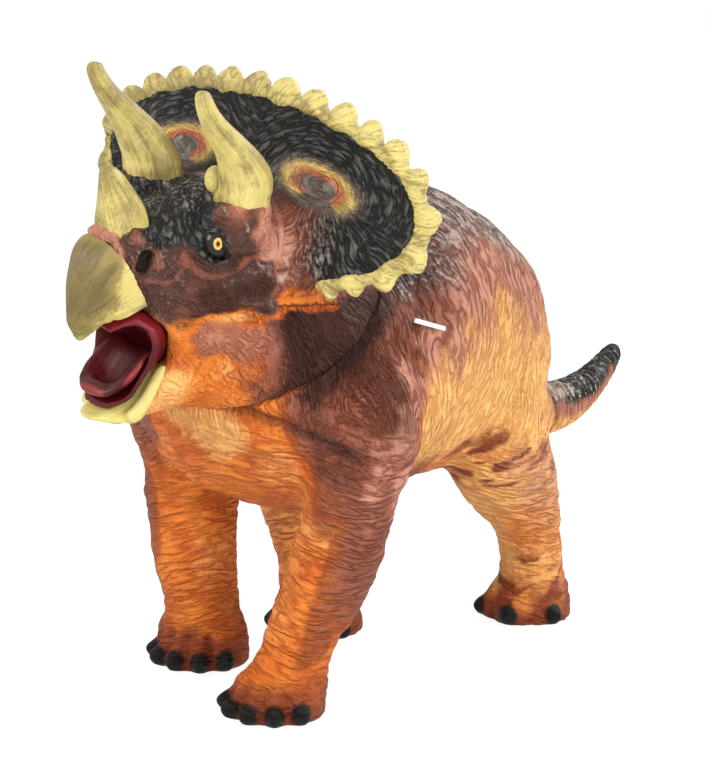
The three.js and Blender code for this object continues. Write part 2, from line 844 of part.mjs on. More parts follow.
function headCasting() {
  const skull = loft(skullStations, { sides: headSides, steps: headSteps, power: fullPower });
  const jaw = loft(jawStations, { sides: hollowSides, steps: smallSteps * 2 });
  const snout = joined(
    skull.subtract(halfSpace(beakCut, -fitGap, 1)),
    beakLoft(beakPegShares),
    jaw.subtract(halfSpace(jawCut, -fitGap, 1)),
    jawPeg(0),
  );
  const face = joined(
    snout,
    neckSkin(0, headSides, smallSteps),
    ...[-1, 1].flatMap((mirror) => [cheek(mirror), browBoss(mirror)]),
  );
  const outside = face.subtract(edgingStrip(fitGap)).add(frillPlate(0));
  const floorTop = seamGap / 2 + neckFloor;
  const hollow = neckSkin(-skinWall, hollowSides, smallSteps)
    .subtract(halfSpace(neckInHead, floorTop, -1))
    .subtract(halfSpace(neckInHead, neckTop - skinWall, 1))
    .subtract(edgingStrip(skinWall))
    .subtract(mouthLoft(skinWall));
  return [
    halfSpace(neckInHead, seamGap / 2, -1),
    hollow,
    spigotHole(neckJoint, neckInHead),
    mouthLoft(0),
    noseHorn(fitGap),
    ...[-1, 1].flatMap((mirror) => [browHorn(mirror, fitGap), eyeBall(mirror, fitGap)]),
  ].reduce((rest, cut) => rest.subtract(cut), outside);
}

function mouthLiner() {
  const throat = sectionFrame(0, -mouthBack, mouthMidHeight, 0);
  const inside = mouthLoft(-fitGap - linerWall).intersect(halfSpace(throat, fitGap + linerWall, 1));
  return mouthLoft(-fitGap)
    .intersect(halfSpace(throat, fitGap, 1))
    .intersect(faceFill(-fitGap))
    .subtract(inside);
}

// Tongue: it lies on the liner's floor. Shares along the mouth's own stations, of its half width and
// of its half depth
const tongueShares = [
  [0.3, 0.6, 0.6],
  [0.36, 0.86, 0.9],
  [0.44, 1, 1],
  [0.52, 1, 1],
  [0.6, 0.84, 0.9],
  [0.65, 0.4, 0.4],
];

function tongue() {
  const stations = tongueShares.map(([t, wide, high]) => {
    const [mouth] = smoothed(mouthStations, 1 / t).slice(1);
    return {
      ...mouth,
      z: mouth.z - mouth.high + 3 * fitGap + linerWall + tongueHalfDepth,
      wide: wide * tongueHalfWidth,
      high: high * tongueHalfDepth,
    };
  });
  return loft(stations, { sides: smallSides });
}

// Tail: from the seam back to its tip, rising at the end. Back, rise and radius shares
const tailShares = [
  [-0.04, 0, 1],
  [0, 0, 1],
  [0.25, -0.12, 0.92],
  [0.5, -0.05, 0.76],
  [0.75, 0.3, 0.58],
  [0.93, 0.78, 0.44],
  [1, 1, 0.3],
];

function tailCasting() {
  const stations = (grow) =>
    tailShares.map(([back, rise, thick]) => ({
      x: 0,
      y: tailSeamBack + back * tailLength,
      z: tailSeamHeight + rise * tailRise,
      lean: 0,
      wide: thick * tailSeamRadius + grow,
      high: thick * tailSeamRadius + grow,
    }));
  const floorTop = seamGap / 2 + tailFloor;
  const hollow = loft(stations(-skinWall), { steps: smallSteps * 2 })
    .subtract(halfSpace(tailPlugFrame, floorTop, -1))
    .subtract(halfSpace(tailPlugFrame, tailHollowLength, 1));
  return loft(stations(0), { sides: legSides, steps: smallSteps * 2 })
    .subtract(halfSpace(tailPlugFrame, seamGap / 2, -1))
    .subtract(hollow)
    .subtract(spigotHole(tailJoint, tailPlugFrame));
}

// Stuffing: it fills the trunk between the two plugs, and the neck above its plug
function torsoFilling() {
  const clear = skinWall + stuffingSlack;
  return loft(trunkStations(), { sides: hollowSides, steps: trunkSteps, power: fullPower, grow: -clear })
    .subtract(halfSpace(neckFrame, -seamGap / 2 - neckPlugDepth - fitGap, 1))
    .subtract(halfSpace(tailPlugFrame, -seamGap / 2 - tailPlugDepth - fitGap, 1))
    .subtract(tagFastener(fitGap));
}

function headFilling() {
  const clear = skinWall + stuffingSlack;
  return neckSkin(-clear, hollowSides, smallSteps)
    .subtract(halfSpace(neckInHead, plugTop(neckJoint) + fitGap, -1))
    .subtract(halfSpace(neckInHead, neckTop - clear, 1))
    .subtract(edgingStrip(clear))
    .subtract(mouthLoft(clear));
}

// Finishes
function finish(color, roughness) {
  return new THREE.MeshStandardMaterial({ color, roughness, metalness: 0 });
}

const paintedSkin = finish(0xc9742e, 0.5);
const hornCream = finish(0xd9cb78, 0.45);
const mouthRed = finish(0x6e1420, 0.25);
const tonguePink = finish(0x9a2a33, 0.25);
const eyeBlack = finish(0x14100e, 0.1);
const stiffPlastic = finish(0xe8e6e0, 0.4);
const fibre = finish(0xf2f0ea, 0.95);
const nylon = finish(0xffffff, 0.35);

// Body casting, with both ends opened square to their seams
const bodyShell = outerBody
  .subtract(bodyHollow(skinWall))
  .subtract(halfSpace(neckFrame, -seamGap / 2, 1))
  .subtract(halfSpace(tailPlugFrame, -seamGap / 2, 1))
  .subtract(plugSeat(neckJoint, neckFrame))
  .subtract(plugSeat(tailJoint, tailPlugFrame))
  .subtract(tagFastener(fitGap));

const body = new THREE.Group();
body.add(
  piece("body_shell", bodyShell, paintedSkin),
  piece("neck_plug", solid(turned(plugOutline(neckJoint)), neckFrame), stiffPlastic),
  piece("neck_snap_ring", solid(snapRing(neckJoint), neckFrame), stiffPlastic),
  piece("tail_plug", solid(turned(plugOutline(tailJoint)), tailPlugFrame), stiffPlastic),
  piece("tail_snap_ring", solid(snapRing(tailJoint), tailPlugFrame), stiffPlastic),
  piece("torso_filling", torsoFilling(), fibre),
  piece("tag_fastener", tagFastener(0), nylon),
);

const head = new THREE.Group();
head.add(
  piece("head_shell", headCasting(), paintedSkin),
  piece("frill_edging", edgingStrip(0).subtract(frillPlate(fitGap)), hornCream),
  piece("nose_horn", noseHorn(), hornCream),
  piece("left_brow_horn", browHorn(1), hornCream),
  piece("right_brow_horn", browHorn(-1), hornCream),
  piece(
    "upper_beak",
    beakLoft(beakShares)
      .intersect(halfSpace(beakCut, 0, 1))
      .subtract(beakLoft(beakPegShares, fitGap))
      .subtract(mouthLoft(0)),
    hornCream,
  ),
  piece(
    "lower_beak",
    loft(jawStations, { sides: hollowSides, steps: smallSteps * 2 })
      .intersect(halfSpace(jawCut, 0, 1))
      .subtract(jawPeg(fitGap))
      .subtract(mouthLoft(0)),
    hornCream,
  ),
  piece("mouth_liner", mouthLiner(), mouthRed),
  piece("tongue", tongue(), tonguePink),
  piece("left_eye", eyeBall(1, 0), eyeBlack),
  piece("right_eye", eyeBall(-1, 0), eyeBlack),
  piece("head_filling", headFilling(), fibre),
);
head.applyMatrix4(headPlace);

const tail = new THREE.Group();
tail.add(piece("tail_shell", tailCasting(), paintedSkin));

// The figure stands on Z = 0, with the middle of the floor space that it takes at the origin
const figure = new THREE.Group();
figure.add(body, head, tail);
const extent = new THREE.Box3().setFromObject(figure, true);
const middle = extent.getCenter(new THREE.Vector3());
figure.children.forEach((group) => {
  group.position.x -= middle.x;
  group.position.y -= middle.y;
});

export default figure;
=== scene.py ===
"""Dresses a soft vinyl three-horned dinosaur over its packed castings."""
import functools
import json
import math

import bmesh
import bpy
import numpy as np
from mathutils import Euler, Matrix, Vector


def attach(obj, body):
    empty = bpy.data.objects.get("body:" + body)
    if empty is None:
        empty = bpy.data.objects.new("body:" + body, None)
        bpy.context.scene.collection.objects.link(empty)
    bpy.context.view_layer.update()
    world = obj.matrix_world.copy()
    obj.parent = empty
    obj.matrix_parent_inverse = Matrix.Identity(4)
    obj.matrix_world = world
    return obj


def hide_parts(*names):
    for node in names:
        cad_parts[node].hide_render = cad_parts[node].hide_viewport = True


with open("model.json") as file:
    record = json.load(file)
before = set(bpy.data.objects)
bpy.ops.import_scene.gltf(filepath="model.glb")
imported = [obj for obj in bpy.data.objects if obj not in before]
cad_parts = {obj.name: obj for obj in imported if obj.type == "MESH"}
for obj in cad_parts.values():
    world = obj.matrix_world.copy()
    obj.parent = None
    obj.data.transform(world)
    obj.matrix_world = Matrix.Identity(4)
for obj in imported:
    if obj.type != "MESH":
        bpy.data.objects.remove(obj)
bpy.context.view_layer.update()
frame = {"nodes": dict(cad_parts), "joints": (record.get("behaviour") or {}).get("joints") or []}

bl_info = {
    "name": "Horned Dinosaur Figure",
    "version": (1, 0, 0),
    "blender": (4, 5, 0),
    "location": "View3D > Sidebar > Figure",
    "description": "Sculpts, paints and lights a stuffed vinyl dinosaur over its castings",
    "category": "Object",
}

# The workbench: millimetres, with the trunk's middle at x = y = 0 and the soles at z = 0
MM = 0.001
NODES = frame["nodes"]
SEAMS = {joint["name"]: joint for joint in frame["joints"]}
NECK_SEAM = np.array([0.0, -38.5, 107.498])
TAIL_SEAM = np.array([0.0, 122.0, 47.996])
BENCH = np.array(SEAMS["neck_swivel"]["pos_m"]) / MM - NECK_SEAM
NECK_WAY = np.array(SEAMS["neck_swivel"]["axis"])
TAIL_WAY = np.array(SEAMS["tail_swivel"]["axis"])
NECK_RADIUS = 35.0
TAIL_RADIUS = 8.8
HEAD_PIVOT = np.array([0.0, -45.0, 110.0])
HEAD_TURN = np.array(Euler((0, math.radians(6), math.radians(-15)), "XYZ").to_matrix())
HEAD_FOOT = np.array([0.0, 0.0, 110.0])


def to_head(points):
    """Bench places as the head's own: x to its left, y back from its pivot, z up."""
    return (points - HEAD_PIVOT) @ HEAD_TURN + HEAD_FOOT


def from_head(points):
    return (np.asarray(points, float) - HEAD_FOOT) @ HEAD_TURN.T + HEAD_PIVOT


def head_way(way):
    """A direction in the head's own places, as one on the bench."""
    return from_head(way) - from_head([0, 0, 0])


# Number tools for whole skins


def unit(way):
    return np.asarray(way, float) / np.linalg.norm(way)


def upright(way):
    """The steepest direction at right angles to a way of length 1."""
    return unit(np.array([0, 0, 1.0]) - way * way[2])


def most(*masks):
    """The largest of several masks, place by place."""
    return functools.reduce(np.maximum, masks)


def folded(points):
    """Places with the right side laid over the left, for what both sides have."""
    x, y, z = points.T
    return np.stack([np.abs(x), y, z], 1)


def ramp(value, low, high):
    """Smoothly from 0 at low to 1 at high, where low may be the larger of the two."""
    share = np.clip((value - low) / (high - low), 0, 1)
    return share * share * (3 - 2 * share)


# What the noise's hash multiplies and divides by
CELL_PRIMES = np.array([73856093, 19349663, 83492791])
SEED_PRIME = 7919
SCRAMBLER = 1274126177
LARGE_PRIME = 2147483647
LEVELS = 65536


def speckle(points, grain, seed=0):
    """Smooth repeatable noise from 0 to 1, whose lumps are about one grain across."""
    spots = np.asarray(points, float) / grain + 500
    cell = np.floor(spots).astype(np.int64)
    part = spots - cell
    part = part * part * (3 - 2 * part)
    total = np.zeros(len(spots))
    for corner in np.ndindex(2, 2, 2):
        key = (cell + corner) @ CELL_PRIMES + seed * SEED_PRIME
        key = (key ^ (key >> 13)) * SCRAMBLER % LARGE_PRIME
        key = (key ^ (key >> 11)) % LEVELS
        share = np.prod(np.where(corner, part, 1 - part), axis=1)
        total += share * key / (LEVELS - 1)
    return total


def puffs(points, seed):
    """Soft swellings with narrow creases between them, from 0 in a crease to about 1."""
    coarse = np.abs(speckle(points, 1.0, seed) - 0.5)
    fine = np.abs(speckle(points, 0.47, seed + 5) - 0.5)
    return np.sqrt(np.clip(coarse * 2, 0, 1)) * 0.7 + np.sqrt(np.clip(fine * 2, 0, 1)) * 0.3


def way_off(points, path):
    """How far each point is from a line through the path's places."""
    path = np.asarray(path, float)
    best = np.full(len(points), 1e9)
    for start, end in zip(path[:-1], path[1:]):
        span = end - start
        share = np.clip((points - start) @ span / max(span @ span, 1e-9), 0, 1)
        best = np.minimum(best, np.linalg.norm(points - start - share[:, None] * span, axis=1))
    return best


def eased(values, count):
    """Evenly spaced places on a smooth curve through the given rows."""
    rows = np.asarray(values, float)
    at = np.linspace(0, len(rows) - 1, count)
    low = np.clip(np.floor(at).astype(int), 0, len(rows) - 2)
    u = (at - low)[:, None]
    a, b, c, d = [rows[np.clip(low + k, 0, len(rows) - 1)] for k in (-1, 0, 1, 2)]
    return b + u * (c - a + u * (2 * a - 5 * b + 4 * c - d + u * (3 * (b - c) + d - a))) / 2


class Skin:
    """A casting on the bench: its points in millimetres and its four-sided faces."""

    def __init__(self, points, faces):
        self.points = points
        self.faces = faces
        pairs = np.concatenate([faces[:, [i, (i + 1) % 4]] for i in range(4)])
        self.pairs = np.unique(np.sort(pairs, axis=1), axis=0)
        ends = self.pairs.ravel()
        self.valence = np.bincount(ends, minlength=len(points))[:, None]

    def relax(self, turns, hold=None):
        """Smooths the casting. A hold of 1 keeps a point where it is."""
        a, b = self.pairs.T
        free = 0.5 if hold is None else 0.5 * (1 - hold)[:, None]
        count = len(self.points)
        for _ in range(turns):
            mean = np.stack(
                [
                    np.bincount(a, self.points[b, k], count) + np.bincount(b, self.points[a, k], count)
                    for k in range(3)
                ],
                axis=1,
            ) / self.valence
            self.points = self.points + free * (mean - self.points)

    def normals(self):
        p = self.points[self.faces]
        flat = np.cross(p[:, 2] - p[:, 0], p[:, 3] - p[:, 1])
        total = np.zeros_like(self.points)
        for corner in range(4):
            for k in range(3):
                total[:, k] += np.bincount(self.faces[:, corner], flat[:, k], len(total))
        return total / np.maximum(np.linalg.norm(total, axis=1), 1e-9)[:, None]

    def push(self, amount, *shares):
        """Moves the skin out by an amount in millimetres, times each of the given shares."""
        for share in shares:
            amount = amount * share
        self.points = self.points + self.normals() * amount[:, None]

    def stroke(self, places, path, width, height):
        """Raises a rounded ridge along a path, or below zero cuts a groove; places are the skin's own."""
        self.push(height * np.exp(-((way_off(places, path) / width) ** 2)))

    def knead(self, grain, seed, *shares):
        """Soft uneven lumps."""
        self.push(speckle(self.points, grain, seed) - 0.5, *shares)

    def crumple(self, patterns, seed, *shares):
        """Folds with creases between them, laid out by the places of a pattern."""
        self.push(puffs(patterns, seed) - 0.6, *shares)

    def move(self, local):
        """Takes new places, given in the head's own."""
        self.points = from_head(local)

    @property
    def solid(self):
        return self.points, self.faces


# Solids and meshes


def node_solid(name):
    """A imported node's points on the bench and its faces, with its seams closed."""
    soft = bmesh.new()
    soft.from_mesh(NODES[name].data)
    bmesh.ops.remove_doubles(soft, verts=soft.verts, dist=1e-6)
    points = np.array([v.co for v in soft.verts]) / MM - BENCH
    faces = [[v.index for v in f.verts] for f in soft.faces]
    soft.free()
    return points, faces


def lofted(rings):
    """A closed solid over rings of equally many points."""
    count = len(rings[0])
    points = np.concatenate([*rings, [rings[0].mean(axis=0)], [rings[-1].mean(axis=0)]])
    faces = []
    for k in range(len(rings) - 1):
        for i in range(count):
            a, b = k * count + i, k * count + (i + 1) % count
            faces.append([a, b, b + count, a + count])
    last = (len(rings) - 1) * count
    for i in range(count):
        j = (i + 1) % count
        faces.append([j, i, len(points) - 2])
        faces.append([last + i, last + j, len(points) - 1])
    return points, faces


def rod(foot, way, radius, low, high, sides=72):
    """A round bar along a way, between two distances from its foot."""
    way = unit(way)
    side = unit(np.cross(way, [0, 0, 1] if abs(way[2]) < 0.9 else [1, 0, 0]))
    up = np.cross(way, side)
    angle = np.linspace(0, 2 * math.pi, sides, endpoint=False)[:, None]
    ring = radius * (np.cos(angle) * side + np.sin(angle) * up)
    return lofted([np.asarray(foot, float) + way * at + ring for at in (low, high)])


def egg(middle, halves, sides=32, rings=20):
    """A finely divided egg with its long way along y."""
    around = np.linspace(0, 2 * math.pi, sides, endpoint=False)
    steps = np.linspace(0.02, math.pi - 0.02, rings)
    shape = [
        np.stack([np.sin(s) * np.cos(around), np.full(sides, -math.cos(s)), np.sin(s) * np.sin(around)], 1)
        for s in steps
    ]
    return lofted([np.asarray(middle, float) + ring * np.asarray(halves, float) for ring in shape])


def beads(rows, count, side, moved):
    """Balls along a smooth line of places and radii in the head's own places, on one side of it."""
    solids = []
    for x, y, z, reach in eased(rows, count):
        points, faces = egg([0, 0, 0], (reach, reach, reach), sides=16, rings=12)
        solids.append((moved(points, [side * x, y, z]), faces))
    return solids


def turned_ball(points, place):
    return from_head(points + place)


def upright_ball(points, place):
    return points + from_head(place)


def joined(solids):
    """Several solids as one list of points and one of faces."""
    points, faces, start = [], [], 0
    for p, f in solids:
        points.append(p)
        faces += [[i + start for i in face] for face in f]
        start += len(p)
    return np.concatenate(points), faces


def mesh_of(name, points, faces):
    mesh = bpy.data.meshes.new(name)
    mesh.from_pydata(np.asarray(points, float).tolist(), [], [list(map(int, f)) for f in faces])
    shaped = bmesh.new()
    shaped.from_mesh(mesh)
    bmesh.ops.recalc_face_normals(shaped, faces=shaped.faces)
    shaped.to_mesh(mesh)
    shaped.free()
    return mesh


def show(name, mesh):
    made = bpy.data.objects.new(name, mesh)
    bpy.context.scene.collection.objects.link(made)
    return made


def places_of(mesh):
    co = np.empty(len(mesh.vertices) * 3)
    mesh.vertices.foreach_get("co", co)
    return co.reshape(-1, 3)


def evaluated(made):
    """The object's mesh with its modifiers worked in, as a mesh of its own."""
    graph = bpy.context.evaluated_depsgraph_get()
    return bpy.data.meshes.new_from_object(made.evaluated_get(graph), depsgraph=graph)


CRUMB = 50  # points in the largest part that can't be the casting itself


def parts_of(count, quads):
    """A label for each point, the same on all the points of one connected part."""
    label = np.arange(count)
    a, b = quads.ravel(), quads[:, [1, 2, 3, 0]].ravel()
    while True:
        fresh = label.copy()
        low = np.minimum(label[a], label[b])
        np.minimum.at(fresh, a, low)
        np.minimum.at(fresh, b, low)
        fresh = fresh[fresh]
        if (fresh == label).all():
            return label
        label = fresh


def cast(solids, voxel):
    """One skin over several solids, without what lies sealed inside it."""
    made = show("casting", mesh_of("casting", *joined(solids)))
    remesh = made.modifiers.new("voxels", "REMESH")
    remesh.mode = "VOXEL"
    remesh.voxel_size = voxel
    mesh = evaluated(made)
    bpy.data.objects.remove(made)
    co = places_of(mesh)
    corners = np.empty(len(mesh.loops), int)
    mesh.loops.foreach_get("vertex_index", corners)
    quads = corners.reshape(-1, 4)
    label = parts_of(len(co), quads)
    names, counts = np.unique(label, return_counts=True)
    spans = [np.ptp(co[label == n], axis=0).max() if c > CRUMB else 0 for n, c in zip(names, counts)]
    keep = label == names[int(np.argmax(spans))]
    fresh_index = np.cumsum(keep) - 1
    return Skin(co[keep], fresh_index[quads[keep[quads[:, 0]]]])


def cut_square(mesh, foot, way):
    """Cuts off what lies beyond a plane and closes the cut."""
    tool = bmesh.new()
    tool.from_mesh(mesh)
    everything = [*tool.verts, *tool.edges, *tool.faces]
    cut = bmesh.ops.bisect_plane(
        tool, geom=everything, dist=1e-4, plane_co=Vector(foot), plane_no=Vector(way), clear_outer=True
    )
    rim = [e for e in cut["geom_cut"] if isinstance(e, bmesh.types.BMEdge) and e.is_boundary]
    bmesh.ops.triangle_fill(tool, edges=rim, use_beauty=True, normal=Vector(way))
    bmesh.ops.recalc_face_normals(tool, faces=tool.faces)
    tool.to_mesh(mesh)
    tool.free()


def hollowed(name, mesh, cutters):
    """Takes the cutters' solids out of a closed skin."""
    made = show(name, mesh)
    for points, faces in cutters:
        knife = show("knife", mesh_of("knife", points, faces))
        cut = made.modifiers.new("hollow", "BOOLEAN")
        cut.operation = "DIFFERENCE"
        cut.solver = "MANIFOLD"
        cut.object = knife
        result = evaluated(made)
        made.modifiers.clear()
        made.data = result
        bpy.data.objects.remove(knife)
    return made


def mark(mesh, name, values):
    """Stores a mask or a set of pattern places on a mesh's points."""
    values = np.asarray(values, float)
    kind = "FLOAT" if values.ndim == 1 else "FLOAT_VECTOR"
    layer = mesh.attributes.new(name, kind, "POINT")
    layer.data.foreach_set("value" if values.ndim == 1 else "vector", values.ravel())


def dress(made, layers):
    for name, values in layers.items():
        mark(made.data, name, values)


SHARPEST_FOLD = math.radians(55)


def seat(made, body, slot, *replaces):
    """Moves a piece from the bench to its place and gives it its finish and its body."""
    mesh = made.data
    points = (places_of(mesh) + BENCH) * MM
    mesh.vertices.foreach_set("co", points.ravel())
    mesh.update()
    mesh.materials.clear()
    mesh.materials.append(finishes()[slot])
    mesh.polygons.foreach_set("material_index", [0] * len(mesh.polygons))
    mesh.shade_smooth()
    mesh.set_sharp_from_angle(angle=SHARPEST_FOLD)
    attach(made, body)
    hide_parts(*replaces)
    return made


def piece(name, solid, layers, body, slot, *replaces):
    """A piece from its solid on the bench, dressed in its patterns and masks and seated."""
    made = show(name, mesh_of(name, *solid))
    dress(made, layers)
    return seat(made, body, slot, *replaces)


SEAM_GAP = 0.2


def opened(name, skin, seams, seats):
    """Cuts a skin square just short of its seams and takes out the seats of what it holds."""
    mesh = mesh_of(name, *skin.solid)
    for foot, way in seams:
        cut_square(mesh, foot - way * SEAM_GAP, way)
    return hollowed(name, mesh, seats)


# Node tools


class Wire:
    """A node's output that takes part in sums."""

    def __init__(self, graph, socket):
        self.graph = graph
        self.socket = socket

    def twin(self, name):
        """Another output of the same node."""
        return Wire(self.graph, self.socket.node.outputs[name])

    def _sum(self, kind, first, second):
        return self.graph.node("ShaderNodeMath", {"operation": kind}, [first, second])

    def __add__(self, other):
        return self._sum("ADD", self, other)

    __radd__ = __add__

    def __mul__(self, other):
        return self._sum("MULTIPLY", self, other)

    __rmul__ = __mul__

    def __sub__(self, other):
        return self._sum("SUBTRACT", self, other)

    def __rsub__(self, other):
        return self._sum("SUBTRACT", other, self)

    def __pow__(self, other):
        return self._sum("POWER", self, other)

    def __abs__(self):
        return self._sum("ABSOLUTE", self, 0)

    def over(self, low, high):
        """Smoothly from 0 at low to 1 at high."""
        settings = {"interpolation_type": "SMOOTHSTEP"}
        values = {"Value": self, "From Min": low, "From Max": high}
        return self.graph.node("ShaderNodeMapRange", settings, values)

    def most(self, other):
        return self._sum("MAXIMUM", self, other)


class Graph:
    """A node tree, built from expressions."""

    def __init__(self, tree):
        self.tree = tree
        tree.nodes.clear()

    def node(self, kind, settings=None, values=None, out=0):
        """Adds a node by its type, its settings and the values or links of its inputs."""
        made = self.tree.nodes.new(kind)
        for key, value in (settings or {}).items():
            setattr(made, key, value)
        rows = values.items() if isinstance(values, dict) else enumerate(values or [])
        for key, value in rows:
            socket = made.inputs[key]
            if isinstance(value, Wire):
                self.tree.links.new(value.socket, socket)
            elif socket.type == "RGBA":
                socket.default_value = (*value, 1)
            else:
                socket.default_value = value
        return Wire(self, made.outputs[out]) if made.outputs else None

    def seen_rays(self):
        """1 for what the camera sees, straight or by way of gloss or glass."""
        camera = self.node("ShaderNodeLightPath")
        seen = camera
        for out in ("Is Glossy Ray", "Is Transmission Ray"):
            seen = seen.most(camera.twin(out))
        return seen


# A mix node's colour sockets: its sockets for other kinds of data have the same names
MIX_SHARE = 0
MIX_FIRST = 6
MIX_SECOND = 7
MIX_RESULT = 2


class Paint(Graph):
    """A material, built from expressions."""

    def __init__(self, name):
        self.material = bpy.data.materials.new(name)
        self.material.use_nodes = True
        super().__init__(self.material.node_tree)

    def places(self):
        """Object places in millimetres."""
        return self.scaled(self.node("ShaderNodeTexCoord", out="Object"), 1 / MM)

    def scaled(self, vector, by):
        by = by if isinstance(by, tuple) else (by, by, by)
        return self.node("ShaderNodeVectorMath", {"operation": "MULTIPLY"}, [vector, by])

    def mask(self, name):
        return self.node("ShaderNodeAttribute", {"attribute_name": name}, out="Fac")

    def pattern(self, name):
        return self.node("ShaderNodeAttribute", {"attribute_name": name}, out="Vector")

    def noise(self, vector, scale, detail=2.0, rough=0.5):
        values = {"Vector": vector, "Scale": scale, "Detail": detail, "Roughness": rough}
        return self.node("ShaderNodeTexNoise", {"noise_dimensions": "3D"}, values)

    def mix(self, share, first, second, blend="MIX"):
        settings = {"data_type": "RGBA", "blend_type": blend}
        values = {MIX_SHARE: share, MIX_FIRST: first, MIX_SECOND: second}
        return self.node("ShaderNodeMix", settings, values, MIX_RESULT)

    def bump(self, height, depth):
        """A relief whose height runs from 0 to 1 over a depth in millimetres."""
        return self.node("ShaderNodeBump", values={"Height": height, "Distance": depth * MM})

    def finish(self, **sockets):
        """The surface itself; a name's underscores stand for spaces."""
        values = {key.replace("_", " "): value for key, value in sockets.items()}
        surface = self.node("ShaderNodeBsdfPrincipled", values=values)
        self.node("ShaderNodeOutputMaterial", values=[surface])
        return self.material


def shaded(color, *by):
    """A colour with its three channels scaled, each by its own number or all by one."""
    return tuple(c * f for c, f in zip(color, by * 3))


# Sizes and colours that a user would change


def colour(name, description, value):
    return bpy.props.FloatVectorProperty(
        name=name, description=description, default=value, size=3, subtype="COLOR", min=0, max=1
    )


def number(name, description, value, least=0.0, unit="NONE"):
    return bpy.props.FloatProperty(
        name=name, description=description, default=value, min=least, unit=unit
    )


class SkinPaints(bpy.types.PropertyGroup):
    """The sprayed colours of the skin"""

    amber: colour("Amber", "Chest, belly and the front of the legs", (0.66, 0.185, 0.024))
    glow: colour("Glow", "Pale amber of the lower flank and the throat", (0.84, 0.44, 0.14))
    rust: colour("Rust", "Feet and the creases of the legs", (0.21, 0.042, 0.013))
    mauve: colour("Mauve", "Shoulder and outer legs", (0.25, 0.077, 0.043))
    pale: colour("Pale mauve", "Upper flank and temples", (0.5, 0.215, 0.145))
    umber: colour("Umber", "Neck and the creases of the face", (0.045, 0.012, 0.006))
    charcoal: colour("Charcoal", "Frill and back", (0.007, 0.007, 0.0065))
    ash: colour("Ash", "Dry-brushed grey on the back's pebbles", (0.46, 0.42, 0.38))
    brown: colour("Brown", "Face", (0.07, 0.029, 0.021))
    # Painted highlight: the grey of the charcoal's raised folds, whose creases stay black as painted shade
    sheen: colour("Sheen", "Dark grey on the raised folds of the charcoal", (0.08, 0.078, 0.07))
    powder: colour("Powder", "Grey-pink dry-brushed on temples, back and tail", (0.48, 0.37, 0.31))
    halo: colour("Halo", "Dull grey round and within the eye spots", (0.2, 0.17, 0.14))
    yellow: colour("Spot yellow", "Outer ring of the eye spots", (0.72, 0.5, 0.14))
    orange: colour("Spot orange", "Inner ring of the eye spots", (0.6, 0.16, 0.06))
    shadow: colour("Shadow", "Inside the nostrils and along the throat's crease", (0.012, 0.004, 0.003))
    claw: colour("Claw", "Claws", (0.003, 0.0025, 0.002))


class HornPaints(bpy.types.PropertyGroup):
    """The cream parts and their wash"""

    cream: colour("Cream", "Horns, beak and scallops", (0.6, 0.49, 0.145))
    straw: colour("Straw", "Lighter patches of the cream", (0.74, 0.63, 0.27))
    wash: colour("Wash", "Olive-brown wash in the grooves", (0.2, 0.135, 0.03))


class MouthPaints(bpy.types.PropertyGroup):
    """The glossy mouth and the eyes"""

    maroon: colour("Maroon", "Inside of the mouth", (0.075, 0.004, 0.006))
    tongue: colour("Tongue", "Tongue", (0.055, 0.003, 0.004))
    # Painted highlight along the tongue's raised edge
    tongue_edge_highlight: colour("Tongue edge", "Raised edge of the tongue", (0.2, 0.022, 0.022))
    lacquer: colour("Eye black", "Eyes", (0.01, 0.008, 0.008))
    ring: colour("Eye ring", "Painted ring round the pupil", (0.9, 0.5, 0.09))
    pupil: colour("Pupil edge", "Red between the ring and the pupil", (0.5, 0.07, 0.01))


class FoldSizes(bpy.types.PropertyGroup):
    """How fine the skins are cast and how deep their folds are"""

    body_grain: number("Body grain", "Voxel of the body, in mm", 0.97, 0.4)
    head_grain: number("Head grain", "Voxel of the head, in mm", 0.62, 0.3)
    tail_grain: number("Tail grain", "Voxel of the tail, in mm", 0.42, 0.2)
    fold_depth: number("Fold depth", "Body folds, in mm", 0.75)


class HornSizes(bpy.types.PropertyGroup):
    """Horns and scallops"""

    brow_length: number("Brow horn", "Its length in mm", 30.0)
    brow_radius: number("Brow horn root", "Its radius in mm", 8.0)
    nose_length: number("Nose horn", "Its length in mm", 14.8)
    nose_radius: number("Nose horn root", "Its radius in mm", 6.4)
    scallops: bpy.props.IntProperty(name="Scallops", description="How many bumps edge the frill", default=22)


class StageLook(bpy.types.PropertyGroup):
    """Floor, lamps and camera"""

    key_light: number("Key light", "Power of the large front lamp", 8.5, unit="POWER")
    fill_light: number("Fill light", "Power of the lamp near the camera", 3.2, unit="POWER")
    side_light: number("Side light", "Power of each lamp at the side and behind", 7.5, unit="POWER")
    air_light: number("Air light", "Strength of the world's light", 0.5)


# Finishes


# Painted shade that a crease multiplies the paint by, and painted highlight that the top of a fold multiplies
# it by
CREASE_SHADE = (0.42, 0.27, 0.22)
FOLD_HIGHLIGHT = (1.7, 1.6, 1.5)


